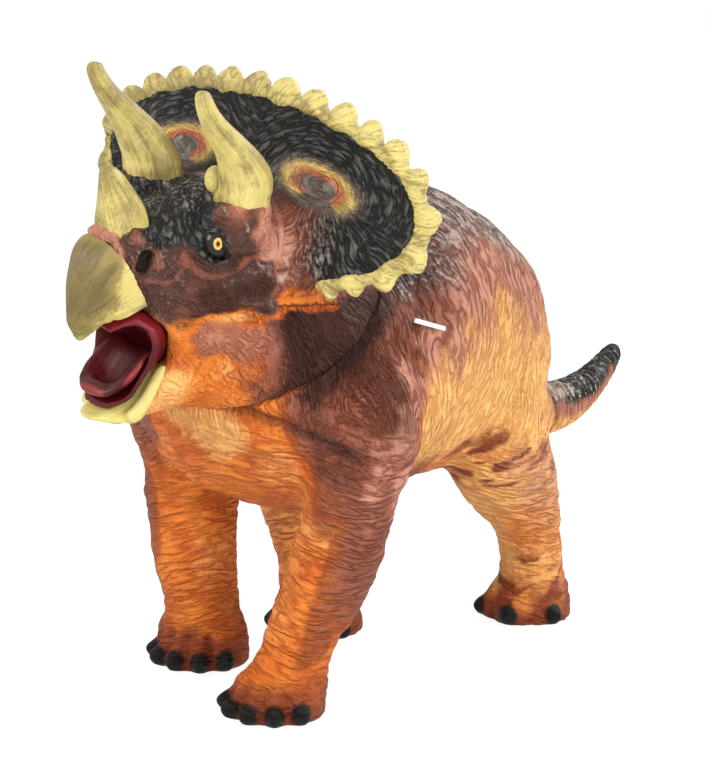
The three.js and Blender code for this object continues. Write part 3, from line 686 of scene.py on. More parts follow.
def painted_skin(look):
    """Sprayed soft vinyl: masks on the skin place the colours, and folds break them up; the creases get
    painted shade and the tops of the folds a painted highlight.
    """
    p = Paint("painted_skin")
    here = p.places()

    def wrinkles(name):
        place = p.pattern(name)
        fine = abs(p.noise(place, 1.0, 2.2, 0.5) - 0.5) * 2
        broad = abs(p.noise(p.scaled(place, 0.42), 1.0, 1.0, 0.5) - 0.5) * 2
        return fine * (0.75 + broad * 1.3)

    ringed = p.mask("ringed")
    calm = p.mask("calm")
    puff = (wrinkles("folds") * (1 - ringed) + wrinkles("rings") * ringed) * (1 - calm) + calm * 0.3
    cloud = p.noise(here, 0.075, 3.0, 0.6)
    grit = p.noise(here, 0.5, 4.0, 0.65)
    spray = p.noise(here, 2.4, 2.0, 0.7)
    pebble = p.node("ShaderNodeTexVoronoi", {"feature": "F1"}, {"Vector": here, "Scale": 0.8})
    breakup = (grit - 0.5) * 0.9 + (spray - 0.5) * 1.3 + (puff - 0.22) * 0.9
    dry = (grit - 0.5) * 0.5 + (spray - 0.5) * 1.5 + (puff - 0.22) * 1.2 + (0.45 - pebble) * 0.7
    worn = p.mask("worn")

    def part(name, spread=1.0):
        return (p.mask(name) * 1.2 - 0.1 + breakup * spread).over(0.1, 0.9)

    deep_amber = shaded(look.amber, 0.8, 0.62, 0.6)
    tone = p.mix((cloud + breakup * 0.25).over(0.36, 0.62), deep_amber, look.amber)
    tone = p.mix(part("glow", 0.55), tone, look.glow)
    tone = p.mix(part("rust", 0.6), tone, look.rust)
    mauve = p.mix((p.mask("pale") + breakup * 0.7).over(0.1, 0.9), look.mauve, look.pale)
    tone = p.mix(part("mauve", 0.85), tone, mauve)
    tone = p.mix(part("brown", 0.6), tone, look.brown)
    tone = p.mix(part("umber", 0.8), tone, look.umber)
    raised = (puff * 0.8 + (1 - pebble) * 1.1 + (spray - 0.5) * 1.6 + (grit - 0.5)).over(0.55, 1.3)
    dusty = (p.mask("ash") * 1.5 * raised).over(0.0, 1.0)
    # raised folds of the charcoal turn to the sheen grey: a painted highlight, the creases staying black as
    # painted shade
    dark = p.mix((puff + (grit - 0.5) * 0.3).over(0.02, 0.42), look.charcoal, look.sheen)
    dark = p.mix(dusty, dark, look.ash)
    tone = p.mix(part("charcoal", 0.6), tone, dark)
    dust = p.mask("dust")
    powder = (dust * 1.15 + dry - 0.25).over(0.0, 0.9) * dust.over(0.0, 0.3)
    tone = p.mix(powder * (0.3 + dust * 0.5), tone, look.powder)
    spot = p.mask("spot") + (grit - 0.5) * 0.3 + (spray - 0.5) * 0.45
    yellow = spot.over(0.1, 0.32) * (1 - spot.over(0.4, 0.56)) * p.mask("flare").over(0.1, 0.6)
    orange = spot.over(0.36, 0.5) * (1 - spot.over(0.56, 0.72)) * p.mask("flare").over(0.2, 0.7)
    tone = p.mix(spot.over(-0.12, 0.2) * 0.6, tone, look.halo)
    tone = p.mix(yellow * 0.85, tone, look.yellow)
    tone = p.mix(orange * 0.8, tone, look.orange)
    # painted shade in the creases, as strong as the mask read above says, then a painted highlight on the
    # tops of the folds
    crease = (1 - (puff + (grit - 0.5) * 0.1).over(0.0, 0.22)) * worn
    tone = p.mix(crease, tone, CREASE_SHADE, "MULTIPLY")
    tone = p.mix(puff.over(0.25, 0.7) * 0.5, tone, FOLD_HIGHLIGHT, "MULTIPLY")
    # painted shadow where this mask lies: in the nostrils and along the throat's crease
    tone = p.mix(p.mask("deep"), tone, look.shadow)
    tone = p.mix(p.mask("claw"), tone, look.claw)
    height = (puff ** 0.8) * (0.6 + worn) + (1 - pebble) * 0.14 + grit * 0.22 + spray * 0.07
    return p.finish(
        Base_Color=tone, Roughness=0.5 + grit * 0.2, Normal=p.bump(height, 1.9), Specular_IOR_Level=0.2
    )


def horn_cream(look):
    """Stiffer vinyl in cream, with an olive-brown wash lying in its grooves; on the scallops the same mask
    also carries painted shade.
    """
    p = Paint("horn_cream")
    here = p.places()
    groove = p.mask("groove")
    streak = p.noise(p.pattern("streaks"), 1.0, 3.0, 0.6)
    line = 1 - (abs(streak - 0.5) * 2).over(0.0, 0.2)
    cloud = p.noise(here, 0.13, 3.0, 0.6)
    grit = p.noise(here, 1.2, 3.0, 0.7)
    wash = (groove * 0.8 + line * 0.1 + (cloud - 0.5) * 1.9 + (grit - 0.5) * 0.7).over(-0.1, 0.75)
    tone = p.mix((cloud + grit * 0.25).over(0.56, 0.8) * 0.4, look.cream, look.straw)
    tone = p.mix(wash * 0.85, tone, look.wash)
    # darker still where the mask runs highest, as in the upper beak's hollow front
    tone = p.mix((groove - 0.9).over(0.0, 0.9) * 0.7, tone, shaded(look.wash, 0.5))
    height = (1 - line) * 0.2 + streak * 0.4 + grit * 0.4
    return p.finish(
        Base_Color=tone, Roughness=0.34 + grit * 0.22, Normal=p.bump(height, 0.4), Specular_IOR_Level=0.5
    )


def wet_mouth(name, deep, lit):
    """Glossy dark red with soft darker patches, and a lighter colour where the rim mask lies: painted light.
    """
    p = Paint(name)
    here = p.places()
    cloud = p.noise(here, 0.18, 3.0, 0.55)
    grit = p.noise(here, 1.1, 3.0, 0.6)
    tone = p.mix((p.mask("rim") + (cloud - 0.5) * 0.5).over(0.2, 0.8), deep, lit)
    return p.finish(
        Base_Color=tone,
        Roughness=0.3 + grit * 0.14,
        Normal=p.bump(grit + cloud, 0.12),
        Specular_IOR_Level=0.22,
    )


def glossy_eye(look):
    """Black lacquer with a painted ring that follows the gaze."""
    p = Paint("glossy_eye")
    off = p.mask("gaze") + (p.noise(p.places(), 1.6, 2.0) - 0.5) * 0.04
    ring = off.over(0.12, 0.16) * (1 - off.over(0.3, 0.36))
    inner = off.over(0.12, 0.15) * (1 - off.over(0.18, 0.25))
    tone = p.mix(ring, look.lacquer, look.ring)
    tone = p.mix(inner * 0.8, tone, look.pupil)
    return p.finish(Base_Color=tone, Roughness=0.22 + ring * 0.12, Specular_IOR_Level=0.35)


def plain_plastic(name, tone, rough, grain):
    """Moulded plastic with the faint ripple and rub of use."""
    p = Paint(name)
    here = p.places()
    ripple = p.noise(here, grain, 3.0, 0.6)
    rub = p.noise(here, grain * 4, 2.0, 0.6)
    shade = p.mix((ripple + (rub - 0.5) * 0.4).over(0.3, 0.7), tone, shaded(tone, 0.9))
    return p.finish(Base_Color=shade, Roughness=rough + rub * 0.15, Normal=p.bump(ripple + rub * 0.3, 0.12))


def loose_fibre():
    """Polyester stuffing: fine strands that run every way."""
    p = Paint("loose_fibre")
    here = p.places()
    strands = abs(p.noise(p.scaled(here, (0.3, 2.4, 0.8)), 1.0, 4.0, 0.7) - 0.5) * 2
    crossing = abs(p.noise(p.scaled(here, (2.6, 0.4, 1.1)), 1.0, 4.0, 0.7) - 0.5) * 2
    tone = p.mix(strands * crossing, (0.74, 0.73, 0.7), (0.9, 0.89, 0.87))
    return p.finish(Base_Color=tone, Roughness=0.95, Normal=p.bump(strands * 0.6 + crossing * 0.6, 1.2))


FINISHES = {}


def finishes():
    """The finishes under their slots' names, made once for all the pieces."""
    if not FINISHES:
        scene = bpy.context.scene
        mouth = scene.mouth_paints
        FINISHES.update(
            painted_skin=painted_skin(scene.skin_paints),
            horn_cream=horn_cream(scene.horn_paints),
            # the lining's upper part takes a brighter copy of the maroon: painted light, with the deeper
            # inside left dark as painted shade
            mouth_red=wet_mouth("mouth_lining", mouth.maroon, shaded(mouth.maroon, 2.2)),
            tongue_pink=wet_mouth("tongue_flesh", mouth.tongue, mouth.tongue_edge_highlight),
            eye_black=glossy_eye(mouth),
            plastic=plain_plastic("plain_plug", (0.8, 0.79, 0.76), rough=0.4, grain=0.4),
            nylon=plain_plastic("tag_nylon", (0.86, 0.86, 0.86), rough=0.3, grain=1.2),
            fibre=loose_fibre(),
        )
    return FINISHES


# Body

# Along the trunk from the tail seam: y, the height of its middle and half its depth
TRUNK_LINE = np.array(
    [
        [122, 48, 8.8],
        [112, 50, 11.5],
        [103, 56, 17],
        [93, 65, 25],
        [81, 75, 32],
        [67, 82.5, 35.5],
        [50, 87.6, 38.7],
        [30, 93.4, 44],
        [10, 95, 44.4],
        [-10, 92, 40.3],
        [-25, 95, 41],
        [-38.5, 107.5, 38],
    ]
)[::-1]
# Each foot: its middle on the floor, the reach to its claws, and the way each toe points
FORE_TOES = (-62, -33, -2, 31, 64)
HIND_TOES = (-54, 4, 66)
FEET = (
    ((16, -54), 12.8, FORE_TOES),
    ((-27.5, -27), 12.8, FORE_TOES),
    ((31, 61.8), 12.7, HIND_TOES),
    ((-15.4, 16.2), 12.7, HIND_TOES),
)
CLAW_HEIGHT = 3.8
WALL = 3.0
# Each seam's round hollows: radius, then from where to where along the seam's way
NECK_OPENING = (NECK_RADIUS - WALL, -8.5, 2)
NECK_SPIGOT_HOLE = (13.4, -2, 5)
NECK_RING_ROOM = (19.6, 3.6, 12)
TAIL_OPENING = (TAIL_RADIUS - WALL, -9.5, 2)
TAIL_SPIGOT_HOLE = (3.5, -2, 4)
TAIL_RING_ROOM = (5.3, 2.6, 8)
# Where the tag's stem comes out of the shoulder: back and up, and how far aside
TAG_PLACE = (-19, 106)
TAG_SIDE = 43.6


def toes(out=0.0, lift=0.0):
    """Each toe's middle, moved out and up from its claw's, and its angle."""
    for foot, reach, angles in FEET:
        for angle in angles:
            turn = math.radians(angle)
            away = reach + out
            middle = [foot[0] + away * math.sin(turn), foot[1] - away * math.cos(turn), CLAW_HEIGHT]
            yield np.array(middle) + [0, 0, lift], angle


def turned_about(points, middle, angle):
    turn = np.array(Matrix.Rotation(math.radians(angle), 3, "Z"))
    return (points - middle) @ turn.T + middle


def knuckles():
    """A soft knuckle behind and over each claw."""
    solids = []
    for middle, angle in toes(out=-3.6, lift=2.2):
        points, faces = egg(middle, (4.0, 5.2, 4.4))
        solids.append((turned_about(points, middle, angle), faces))
    return solids


def claw_mask(points, halves=(3.3, 4.0, 3.4), out=1.5, lift=-0.5):
    """1 on the tip of each toe."""
    best = np.zeros(len(points))
    for middle, angle in toes(out, lift):
        spots = (turned_about(points, middle, -angle) - middle) / halves
        best = np.maximum(best, ramp(np.linalg.norm(spots, axis=1), 1.16, 0.84))
    return best


def gather_claws(points):
    """Draws each of the casting's round claws in to a slimmer one."""
    for middle, angle in toes():
        spots = turned_about(points, middle, -angle) - middle
        near = ramp(np.linalg.norm(spots / [5.0, 5.8, 5.0], axis=1), 1.25, 0.95)[:, None]
        slim = spots * [0.74, 0.97, 0.82] + [0, 0, -0.6]
        points = turned_about(spots * (1 - near) + slim * near + middle, middle, angle)
    return points


# Each leg's line: heights, then its middle sideways and back, as in the stance
LEG_HEIGHTS = np.array([0, 5, 11, 16.6, 27.6, 42.3, 60.7, 81])
LEG_LINES = (
    ((16, 16, 17.3, 19.5, 23, 26.9, 32, 34.6), (-54, -54, -51.6, -49.2, -45, -40.8, -40.2, -33.6)),
    (
        (-27.5, -27.5, -28.2, -28.5, -28.8, -29.4, -31.4, -33.3),
        (-27, -27, -25.8, -25.8, -28.2, -27.6, -27, -28.8),
    ),
    ((31, 31, 31.4, 31.4, 32, 32.3, 32, 29.4), (61.8, 61.8, 63, 63.6, 60.6, 48, 37.8, 36.6)),
    ((-15.4, -15.4, -17.3, -19.8, -23.7, -27.5, -30, -29.4), (16.2, 16.2, 16.8, 18, 21.6, 26.4, 32.4, 38.4)),
)


def leg_outside(points):
    """From 0 on a leg's front and inner side to 1 on its outer and rear side."""
    best = np.full(len(points), 1e9)
    outer = np.zeros(len(points))
    for sides, backs in LEG_LINES:
        dx = points[:, 0] - np.interp(points[:, 2], LEG_HEIGHTS, sides)
        dy = points[:, 1] - np.interp(points[:, 2], LEG_HEIGHTS, backs)
        off = np.hypot(dx, dy)
        about = np.degrees(np.arctan2(dx * np.sign(sides[0]), -dy))
        share = ramp(about, 0, 58) + ramp(about, -95, -150)
        outer = np.where(off < best, share, outer)
        best = np.minimum(best, off)
    return outer


def leg_share(points):
    """1 on the legs, 0 on the trunk; and the rise over the trunk's middle in half depths."""
    middle = np.interp(points[:, 1], TRUNK_LINE[:, 0], TRUNK_LINE[:, 1])
    depth = np.interp(points[:, 1], TRUNK_LINE[:, 0], TRUNK_LINE[:, 2])
    rise = (points[:, 2] - middle) / depth
    return ramp(rise, -0.45, -0.95), rise


def body_patterns(points):
    """The places that the body's folds and its legs' rings are patterned from."""
    x, y, z = points.T
    sway = speckle(points, 24, 3) * 9 + speckle(points, 9, 4) * 2.5
    bend = 0.5 * np.clip(96 - z, -12, 60) * ramp(y, -20, 40)
    front = ramp(y, -30, -52)
    u = (y + bend) * (1 - front) + (x * 1.1 + 0.3 * z) * front
    folds = np.stack([(u + sway) / 2.0, (x * (1 - front) + y * front) / 6.5, (z + 0.4 * y) / 8.5], 1)
    tilt = 0.22 * np.abs(x) + 0.1 * y
    rings = np.stack([x / 9, y / 9, (z + tilt + sway * 0.7) / 2.1], 1)
    return folds, rings


# The crease from the throat back over the left shoulder, the throat's folds and the dark hollow of
# the neck, each the same on the right
THROAT_SEAM = (
    (6, -68, 88),
    (15.3, -64.5, 87.1),
    (21.9, -60.2, 83.8),
    (27.6, -54.4, 80.1),
    (35.6, -52.1, 77.2),
    (43.4, -49.4, 74.8),
    (47, -42, 71),
)
THROAT_FOLDS = (
    (((2, -67, 83), (7, -66, 72), (10, -62, 62)), 2.4, 0.9),
    (((9, -65, 83), (17, -60, 72), (22, -54, 64)), 2.2, 0.8),
    (((16, -63, 82), (26, -56, 74), (32, -52, 68)), 2.0, 0.7),
    (((10, -66, 90), (22, -60, 88), (34, -51, 84), (42, -46, 80)), 1.8, 0.8),
    (((12, -63, 93), (24, -57, 93), (35, -47, 90)), 1.8, 0.7),
    (((38, -45, 88), (43, -44, 78), (43, -48, 68)), 1.8, 0.9),
)
NECK_HOLLOW = ((35, -40, 112), (34, -46, 103), (32, -52, 95), (30, -54.5, 88), (31, -54, 78), (38, -51, 69))
CHEST_GLOW = ((-9, -67, 92), (3, -66, 79))
GROIN = ((30, 6, 62), (36, 16, 64), (42, 30, 62), (46, 40, 58))
# Where the mauve of the flank ends: along y, and its height there
FLANK_EDGE = (
    (-62, -48, -36, -26, -16, -6, 5, 22, 40, 60, 90, 122),
    (64, 60, 74, 86, 94, 98, 101, 104, 98, 92, 72, 50),
)
MASKS = "mauve pale charcoal ash dust glow rust umber brown claw spot flare ringed worn deep calm".split()


def all_masks(count, given):
    """Every mask that the painted skin reads: the given ones, and bare vinyl in the others."""
    bare = dict.fromkeys(MASKS, np.zeros(count))
    return {**bare, "spot": np.full(count, -1.0), **given}


def body_masks(points):
    x, y, z = points.T
    legs, rise = leg_share(points)
    blot = speckle(points, 18, 1) - 0.5
    fine = speckle(points, 6, 2) - 0.5
    aside = np.abs(x)
    half = folded(points)
    hind = ramp(y, 0, 20)
    outside = leg_outside(points)
    beyond = (points - NECK_SEAM) @ NECK_WAY
    neck_off = way_off(half, NECK_HOLLOW)

    chest = ramp(aside, 34, 25) * ramp(y, -32, -44)
    edge = np.interp(y, *FLANK_EDGE)
    flank = ramp(z + blot * 14 + fine * 14, edge - 17, edge + 15) * (1 - chest)
    leg = legs * outside * ramp(z + blot * 16 + fine * 10, 8, 46)
    shoulder = outside * ramp(y, -26, -38) * ramp(aside, 33, 41) * ramp(z, 104, 88)
    mauve = most(flank, leg * (1 - 0.45 * hind), shoulder, ramp(neck_off + blot * 8, 12, 4) * 0.9)
    side = ramp(aside + fine * 8, 42, 46.5) * 0.9 + fine * 0.5
    charcoal = ramp(rise + blot * 0.2 + fine * 0.2 - 0.12 * ramp(y, 12, 40), 0.34, 0.86) * ramp(y, -36, -16)

    flank_glow = ramp(y, -34, -16) * (1 - legs * 0.55)
    chest_glow = ramp(way_off(points, CHEST_GLOW), 17, 4) * 0.85
    shin = legs * (0.05 + 0.75 * hind + blot * 0.8) * ramp(z + hind * 12, 8, 30)
    groin = ramp(way_off(half, GROIN) + fine * 6, 7, 1)
    bars = speckle(np.stack([x / 6, y / 6, (z - 0.5 * y + fine * 2) / 1.7], 1), 1.0, 7)
    thigh = ramp(z + blot * 10, 40, 52) * ramp(z + blot * 10, 80, 68) * ramp(y, 58, 44)
    bars = ramp(bars, 0.45, 0.75) * hind * np.maximum(thigh, ramp(z, 26, 18)) * 0.85
    foot = ramp(z + blot * 12 + fine * 10 + hind * 2, 22, 4) * 0.85
    rust = most(foot, bars, legs * ramp(blot + fine * 0.8, 0.1, 0.5) * 0.15)
    edging = ramp(mauve + fine * 0.2, 0.0, 0.25) * ramp(y, -12, -32)

    hollow = ramp(neck_off + fine * 9 + blot * 8, 10.5, 1)
    nape = ramp(beyond + blot * 12, -30, -6) * ramp(z + blot * 16, 104, 122)
    seam_side = ramp(beyond, -9, -2) * ramp(aside, 22, 30)
    seam = ramp(way_off(half, THROAT_SEAM) + fine, 2.2, 1.2) * ramp(aside, 47, 38)
    given = {
        "mauve": mauve,
        "pale": most(ramp(y + blot * 20, -18, 14), leg * hind * 0.9, side),
        "charcoal": charcoal,
        "ash": ramp(charcoal, 0, 0.4) * (0.9 + fine) * (0.55 + 0.45 * ramp(rise, 1.15, 0.85)),
        "dust": ramp(rise + blot * 0.25, 0.36, 0.66) * ramp(y, -24, 8) * 0.85,
        "glow": most(flank_glow, chest_glow, shin) * (0.9 + blot * 0.7),
        "rust": most(rust * ramp(z, 66 + hind * 20, 40 + hind * 20), groin * 0.7, edging * 0.6),
        "umber": most(hollow * (0.5 + 0.4 * ramp(z, 84, 96)), nape * 0.75, seam_side * 0.85),
        "claw": claw_mask(points),
        "ringed": legs,
        # how deep the folds are and how much painted shade their creases get: most on the mauve
        "worn": 0.46 - 0.1 * legs + 0.44 * mauve * (1 - 0.4 * legs),
        # painted shadow along the throat's crease
        "deep": seam * 0.6,
    }
    return all_masks(len(points), given)


def sculpt_body(skin, depth):
    """Folds on the trunk, rings on the legs and grooves between the toes."""
    skin.points = gather_claws(skin.points)
    places = skin.points
    height = places[:, 2]
    legs, _ = leg_share(places)
    folds, rings = body_patterns(places)
    calm = 1 - claw_mask(places, halves=(4.4, 5.2, 4.6), out=0.6, lift=0.0)
    skin.crumple(folds * 0.6, 11, depth, 2.1, 1 - legs, calm)
    skin.crumple(rings * 0.6, 12, depth, 1.8, legs, calm, ramp(height, 0, 6))
    skin.push(speckle(places, 10, 14) - 0.5, 1.5, calm, ramp(height, 2, 12))
    half = folded(places)
    skin.stroke(half, THROAT_SEAM, 0.9, -1.4)
    for path, width, rise in THROAT_FOLDS:
        skin.stroke(half, path, width, rise)
    for foot, reach, angles in FEET:
        for left, right in zip(angles[:-1], angles[1:]):
            turn = math.radians((left + right) / 2)
            way = np.array([math.sin(turn), -math.cos(turn)])
            root = [*(np.array(foot) + way * reach * 0.86), 10.0]
            tip = [*(np.array(foot) + way * (reach + 2)), -1.0]
            skin.stroke(places, [root, tip], 1.6, -1.7)
    skin.points[:, 2] = np.maximum(skin.points[:, 2], 0.0)


class FIGURE_OT_body(bpy.types.Operator):
    """Cast, sculpt and paint the body's skin"""

    bl_idname = "figure.body"
    bl_label = "Body"

    def execute(self, context):
        sizes = context.scene.fold_sizes
        solids = [
            node_solid("body_shell"),
            rod(NECK_SEAM, NECK_WAY, NECK_RADIUS, -12, 10),
            rod(TAIL_SEAM, TAIL_WAY, TAIL_RADIUS, -14, 8),
            rod([0, *TAG_PLACE], [1, 0, 0], 1.6, TAG_SIDE - 6, TAG_SIDE - 0.3),
            *knuckles(),
        ]
        skin = cast(solids, sizes.body_grain)
        tips = claw_mask(skin.points, halves=(4.6, 5.4, 4.6), out=0.0, lift=0.0)
        skin.relax(30, np.maximum(tips * 0.6, ramp(skin.points[:, 2], 2.2, 0.8) * 0.8))
        sculpt_body(skin, sizes.fold_depth)
        seats = [
            rod(NECK_SEAM, NECK_WAY, *NECK_OPENING),
            rod(TAIL_SEAM, TAIL_WAY, *TAIL_OPENING),
            node_solid("torso_filling"),
        ]
        made = opened("body_skin", skin, [(NECK_SEAM, NECK_WAY), (TAIL_SEAM, TAIL_WAY)], seats)
        points = places_of(made.data)
        folds, rings = body_patterns(points)
        dress(made, {"folds": folds, "rings": rings, **body_masks(points)})
        seat(made, "body", "painted_skin", "body_shell")
        return {"FINISHED"}


# Head

# The frill's plate: the height of its middle, its lean back, its half width and half height and how
# far its ends sweep back; then the middle of an eye spot on it and that spot's half sizes
FRILL_MIDDLE = 145.5
FRILL_LEAN = math.radians(16)
FRILL_HALVES = (62.5, 23.6)
FRILL_SWEEP = 3.0
SPOT_PLACE = (27.5, 5.2)
SPOT_HALVES = (17.4, 6.8)


def frill_reach(side, rise):
    """0 at the frill's middle, 1 on its outline."""
    return np.hypot(side / FRILL_HALVES[0], rise / FRILL_HALVES[1])


def frill_place(side, rise):
    """The frill's middle surface in the head's own places."""
    return np.stack(
        [
            side,
            rise * math.sin(FRILL_LEAN) + FRILL_SWEEP * (side / FRILL_HALVES[0]) ** 2,
            FRILL_MIDDLE + rise * math.cos(FRILL_LEAN),
        ],
        axis=-1,
    )


FRILL_FACING = np.array([0, -math.cos(FRILL_LEAN), math.sin(FRILL_LEAN)])


def rim_places(count):
    """Even places on the frill's outline in its own plane, and the way out of each."""

    def outline(angle):
        return np.stack([FRILL_HALVES[0] * np.cos(angle), FRILL_HALVES[1] * np.sin(angle)], 1)

    angle = np.radians(np.linspace(237, -57, 4001))
    length = np.concatenate([[0], np.cumsum(np.linalg.norm(np.diff(outline(angle), axis=0), axis=1))])
    at = np.interp(np.linspace(0, length[-1], count), length, angle)
    out = np.stack([np.cos(at) / FRILL_HALVES[0], np.sin(at) / FRILL_HALVES[1]], 1)
    return outline(at), out / np.linalg.norm(out, axis=1)[:, None]


def frill_share(local):
    """1 on the frill's plate, 0 on the face and the neck; then the place across, up and off it."""
    side = local[:, 0]
    rise = (local[:, 2] - FRILL_MIDDLE) / math.cos(FRILL_LEAN)
    off = (local - frill_place(side, rise)) @ FRILL_FACING
    return ramp(np.abs(off), 7.5, 5.0) * ramp(frill_reach(side, rise), 1.25, 1.12), side, rise, off


def head_patterns(points):
    """What the head's folds are patterned from: the frill's strands, the rings of face, temple and
    neck, where the rings hold, and where two patterns meet."""
    local = to_head(points)
    x, y, z = local.T
    frill, side, rise, _ = frill_share(local)
    sway = speckle(points, 13, 21) * 7 + speckle(points, 5, 22) * 1.6
    across = np.abs(side) - SPOT_PLACE[0]
    spread = np.hypot(across / 1.6, rise - SPOT_PLACE[1])
    about = np.arctan2(rise - SPOT_PLACE[1], across / 1.6)
    fan = ramp(np.abs(about + 1.5), 1.5, 0.9) * ramp(spread, 4, 8)
    folds = np.stack([(spread + sway * 0.6) / 1.25, across / 7, rise / 4.5], 1)
    streaks = np.stack([(about * 15 + sway * 0.5) / 1.1, spread / 5, y / 6], 1)
    seam = points - NECK_SEAM
    round_neck = np.arctan2(seam[:, 0], -(seam @ np.cross(NECK_WAY, [1.0, 0, 0])))
    slant = x * 0.7 + z * 0.6 + sway * 0.5
    face_rings = np.stack([slant / 1.6, (y + x * 0.3) / 2.9, (z - x * 0.4) / 4.2], 1)
    neck_rings = np.stack([(round_neck * 38 + sway) / 2.2, (seam @ NECK_WAY) / 6, x * 0], 1)
    temple_rings = np.stack([(np.abs(x) * 0.8 - y + sway * 0.4) / 1.2, (z + sway) / 6, x / 6], 1)
    rings = np.where((y > -12)[:, None], neck_rings, face_rings)
    rings = np.where(((y > -12) & (z > 119) & (y < 6))[:, None], temple_rings, rings)
    rings = np.where((frill > 0.5)[:, None], streaks, rings)
    join = np.maximum(ramp(np.abs(frill - 0.5), 0.49, 0.3), ramp(np.abs(y + 12), 1.8, 0.5) * (frill < 0.5))
    return folds, rings, np.where(frill > 0.5, fan, 1.0), join


# The lower edge of the dark cheek plate along y, and the orange lip from its corner to the frill's end
CHEEK_EDGE = ((-52, -44, -38, -33, -26, -19, -12, -4), (117, 113.5, 111.5, 112.5, 116.3, 118.2, 117, 119))
# Paths of single patches of colour, on the left and the same on the right
BRIDGE = ((3, -38, 142), (10, -40, 138), (12, -33, 142), (15, -30, 139))
DUSTY_TEMPLE = ((28, -6, 124), (29, -5, 137), (30, -3, 147))
DARK_CHEEK = ((23, -14, 124), (18, -24, 121))
JAW_CORNER = ((17, -27, 110), (21, -21, 109.5), (27, -13, 109))
BROW_FLUSH = ((20, -20, 145), (24, -16.5, 141), (25.5, -11, 136))
MOUTH_CORNER = ((11, -40, 117), (14, -35, 111), (14, -35, 104))
NOSTRIL = ((9.2, -44.0, 129.9), (9.2, -42.6, 132.9))
ORANGE_LIP = ((22, -13.5, 116.5), (26, -8.6, 119.4), (28.4, -5, 120.6), (30, -0.7, 120.6), (31.5, 4, 120.4))
# The left eye: its middle, the way that its lids face and the way that it looks
EYE = np.array([16.6, -25.4, 136.0])
LIDS_FACING = (0.85, -0.42, 0.28)
GAZE = np.array([0.80, -0.57, 0.14])


def face_ridges(half, fine):
    """1 along the raised lines of the face, which head_masks paints paler as a painted highlight."""
    ridge = np.zeros(len(half))
    for path, width, height in FACE_LINES:
        if height > 0:
            ridge = np.maximum(ridge, ramp(way_off(half, path) + fine * 1.5, width * 1.3, width * 0.3))
    return ridge


def frill_spot(aside, rise):
    """How far a place is from an eye spot's middle, 1 at its outline, and the angle there."""
    across = aside - SPOT_PLACE[0]
    lift = rise - SPOT_PLACE[1] + across * 0.12
    off = np.hypot(across / SPOT_HALVES[0], lift / SPOT_HALVES[1])
    return off, np.arctan2(lift * 2, across)


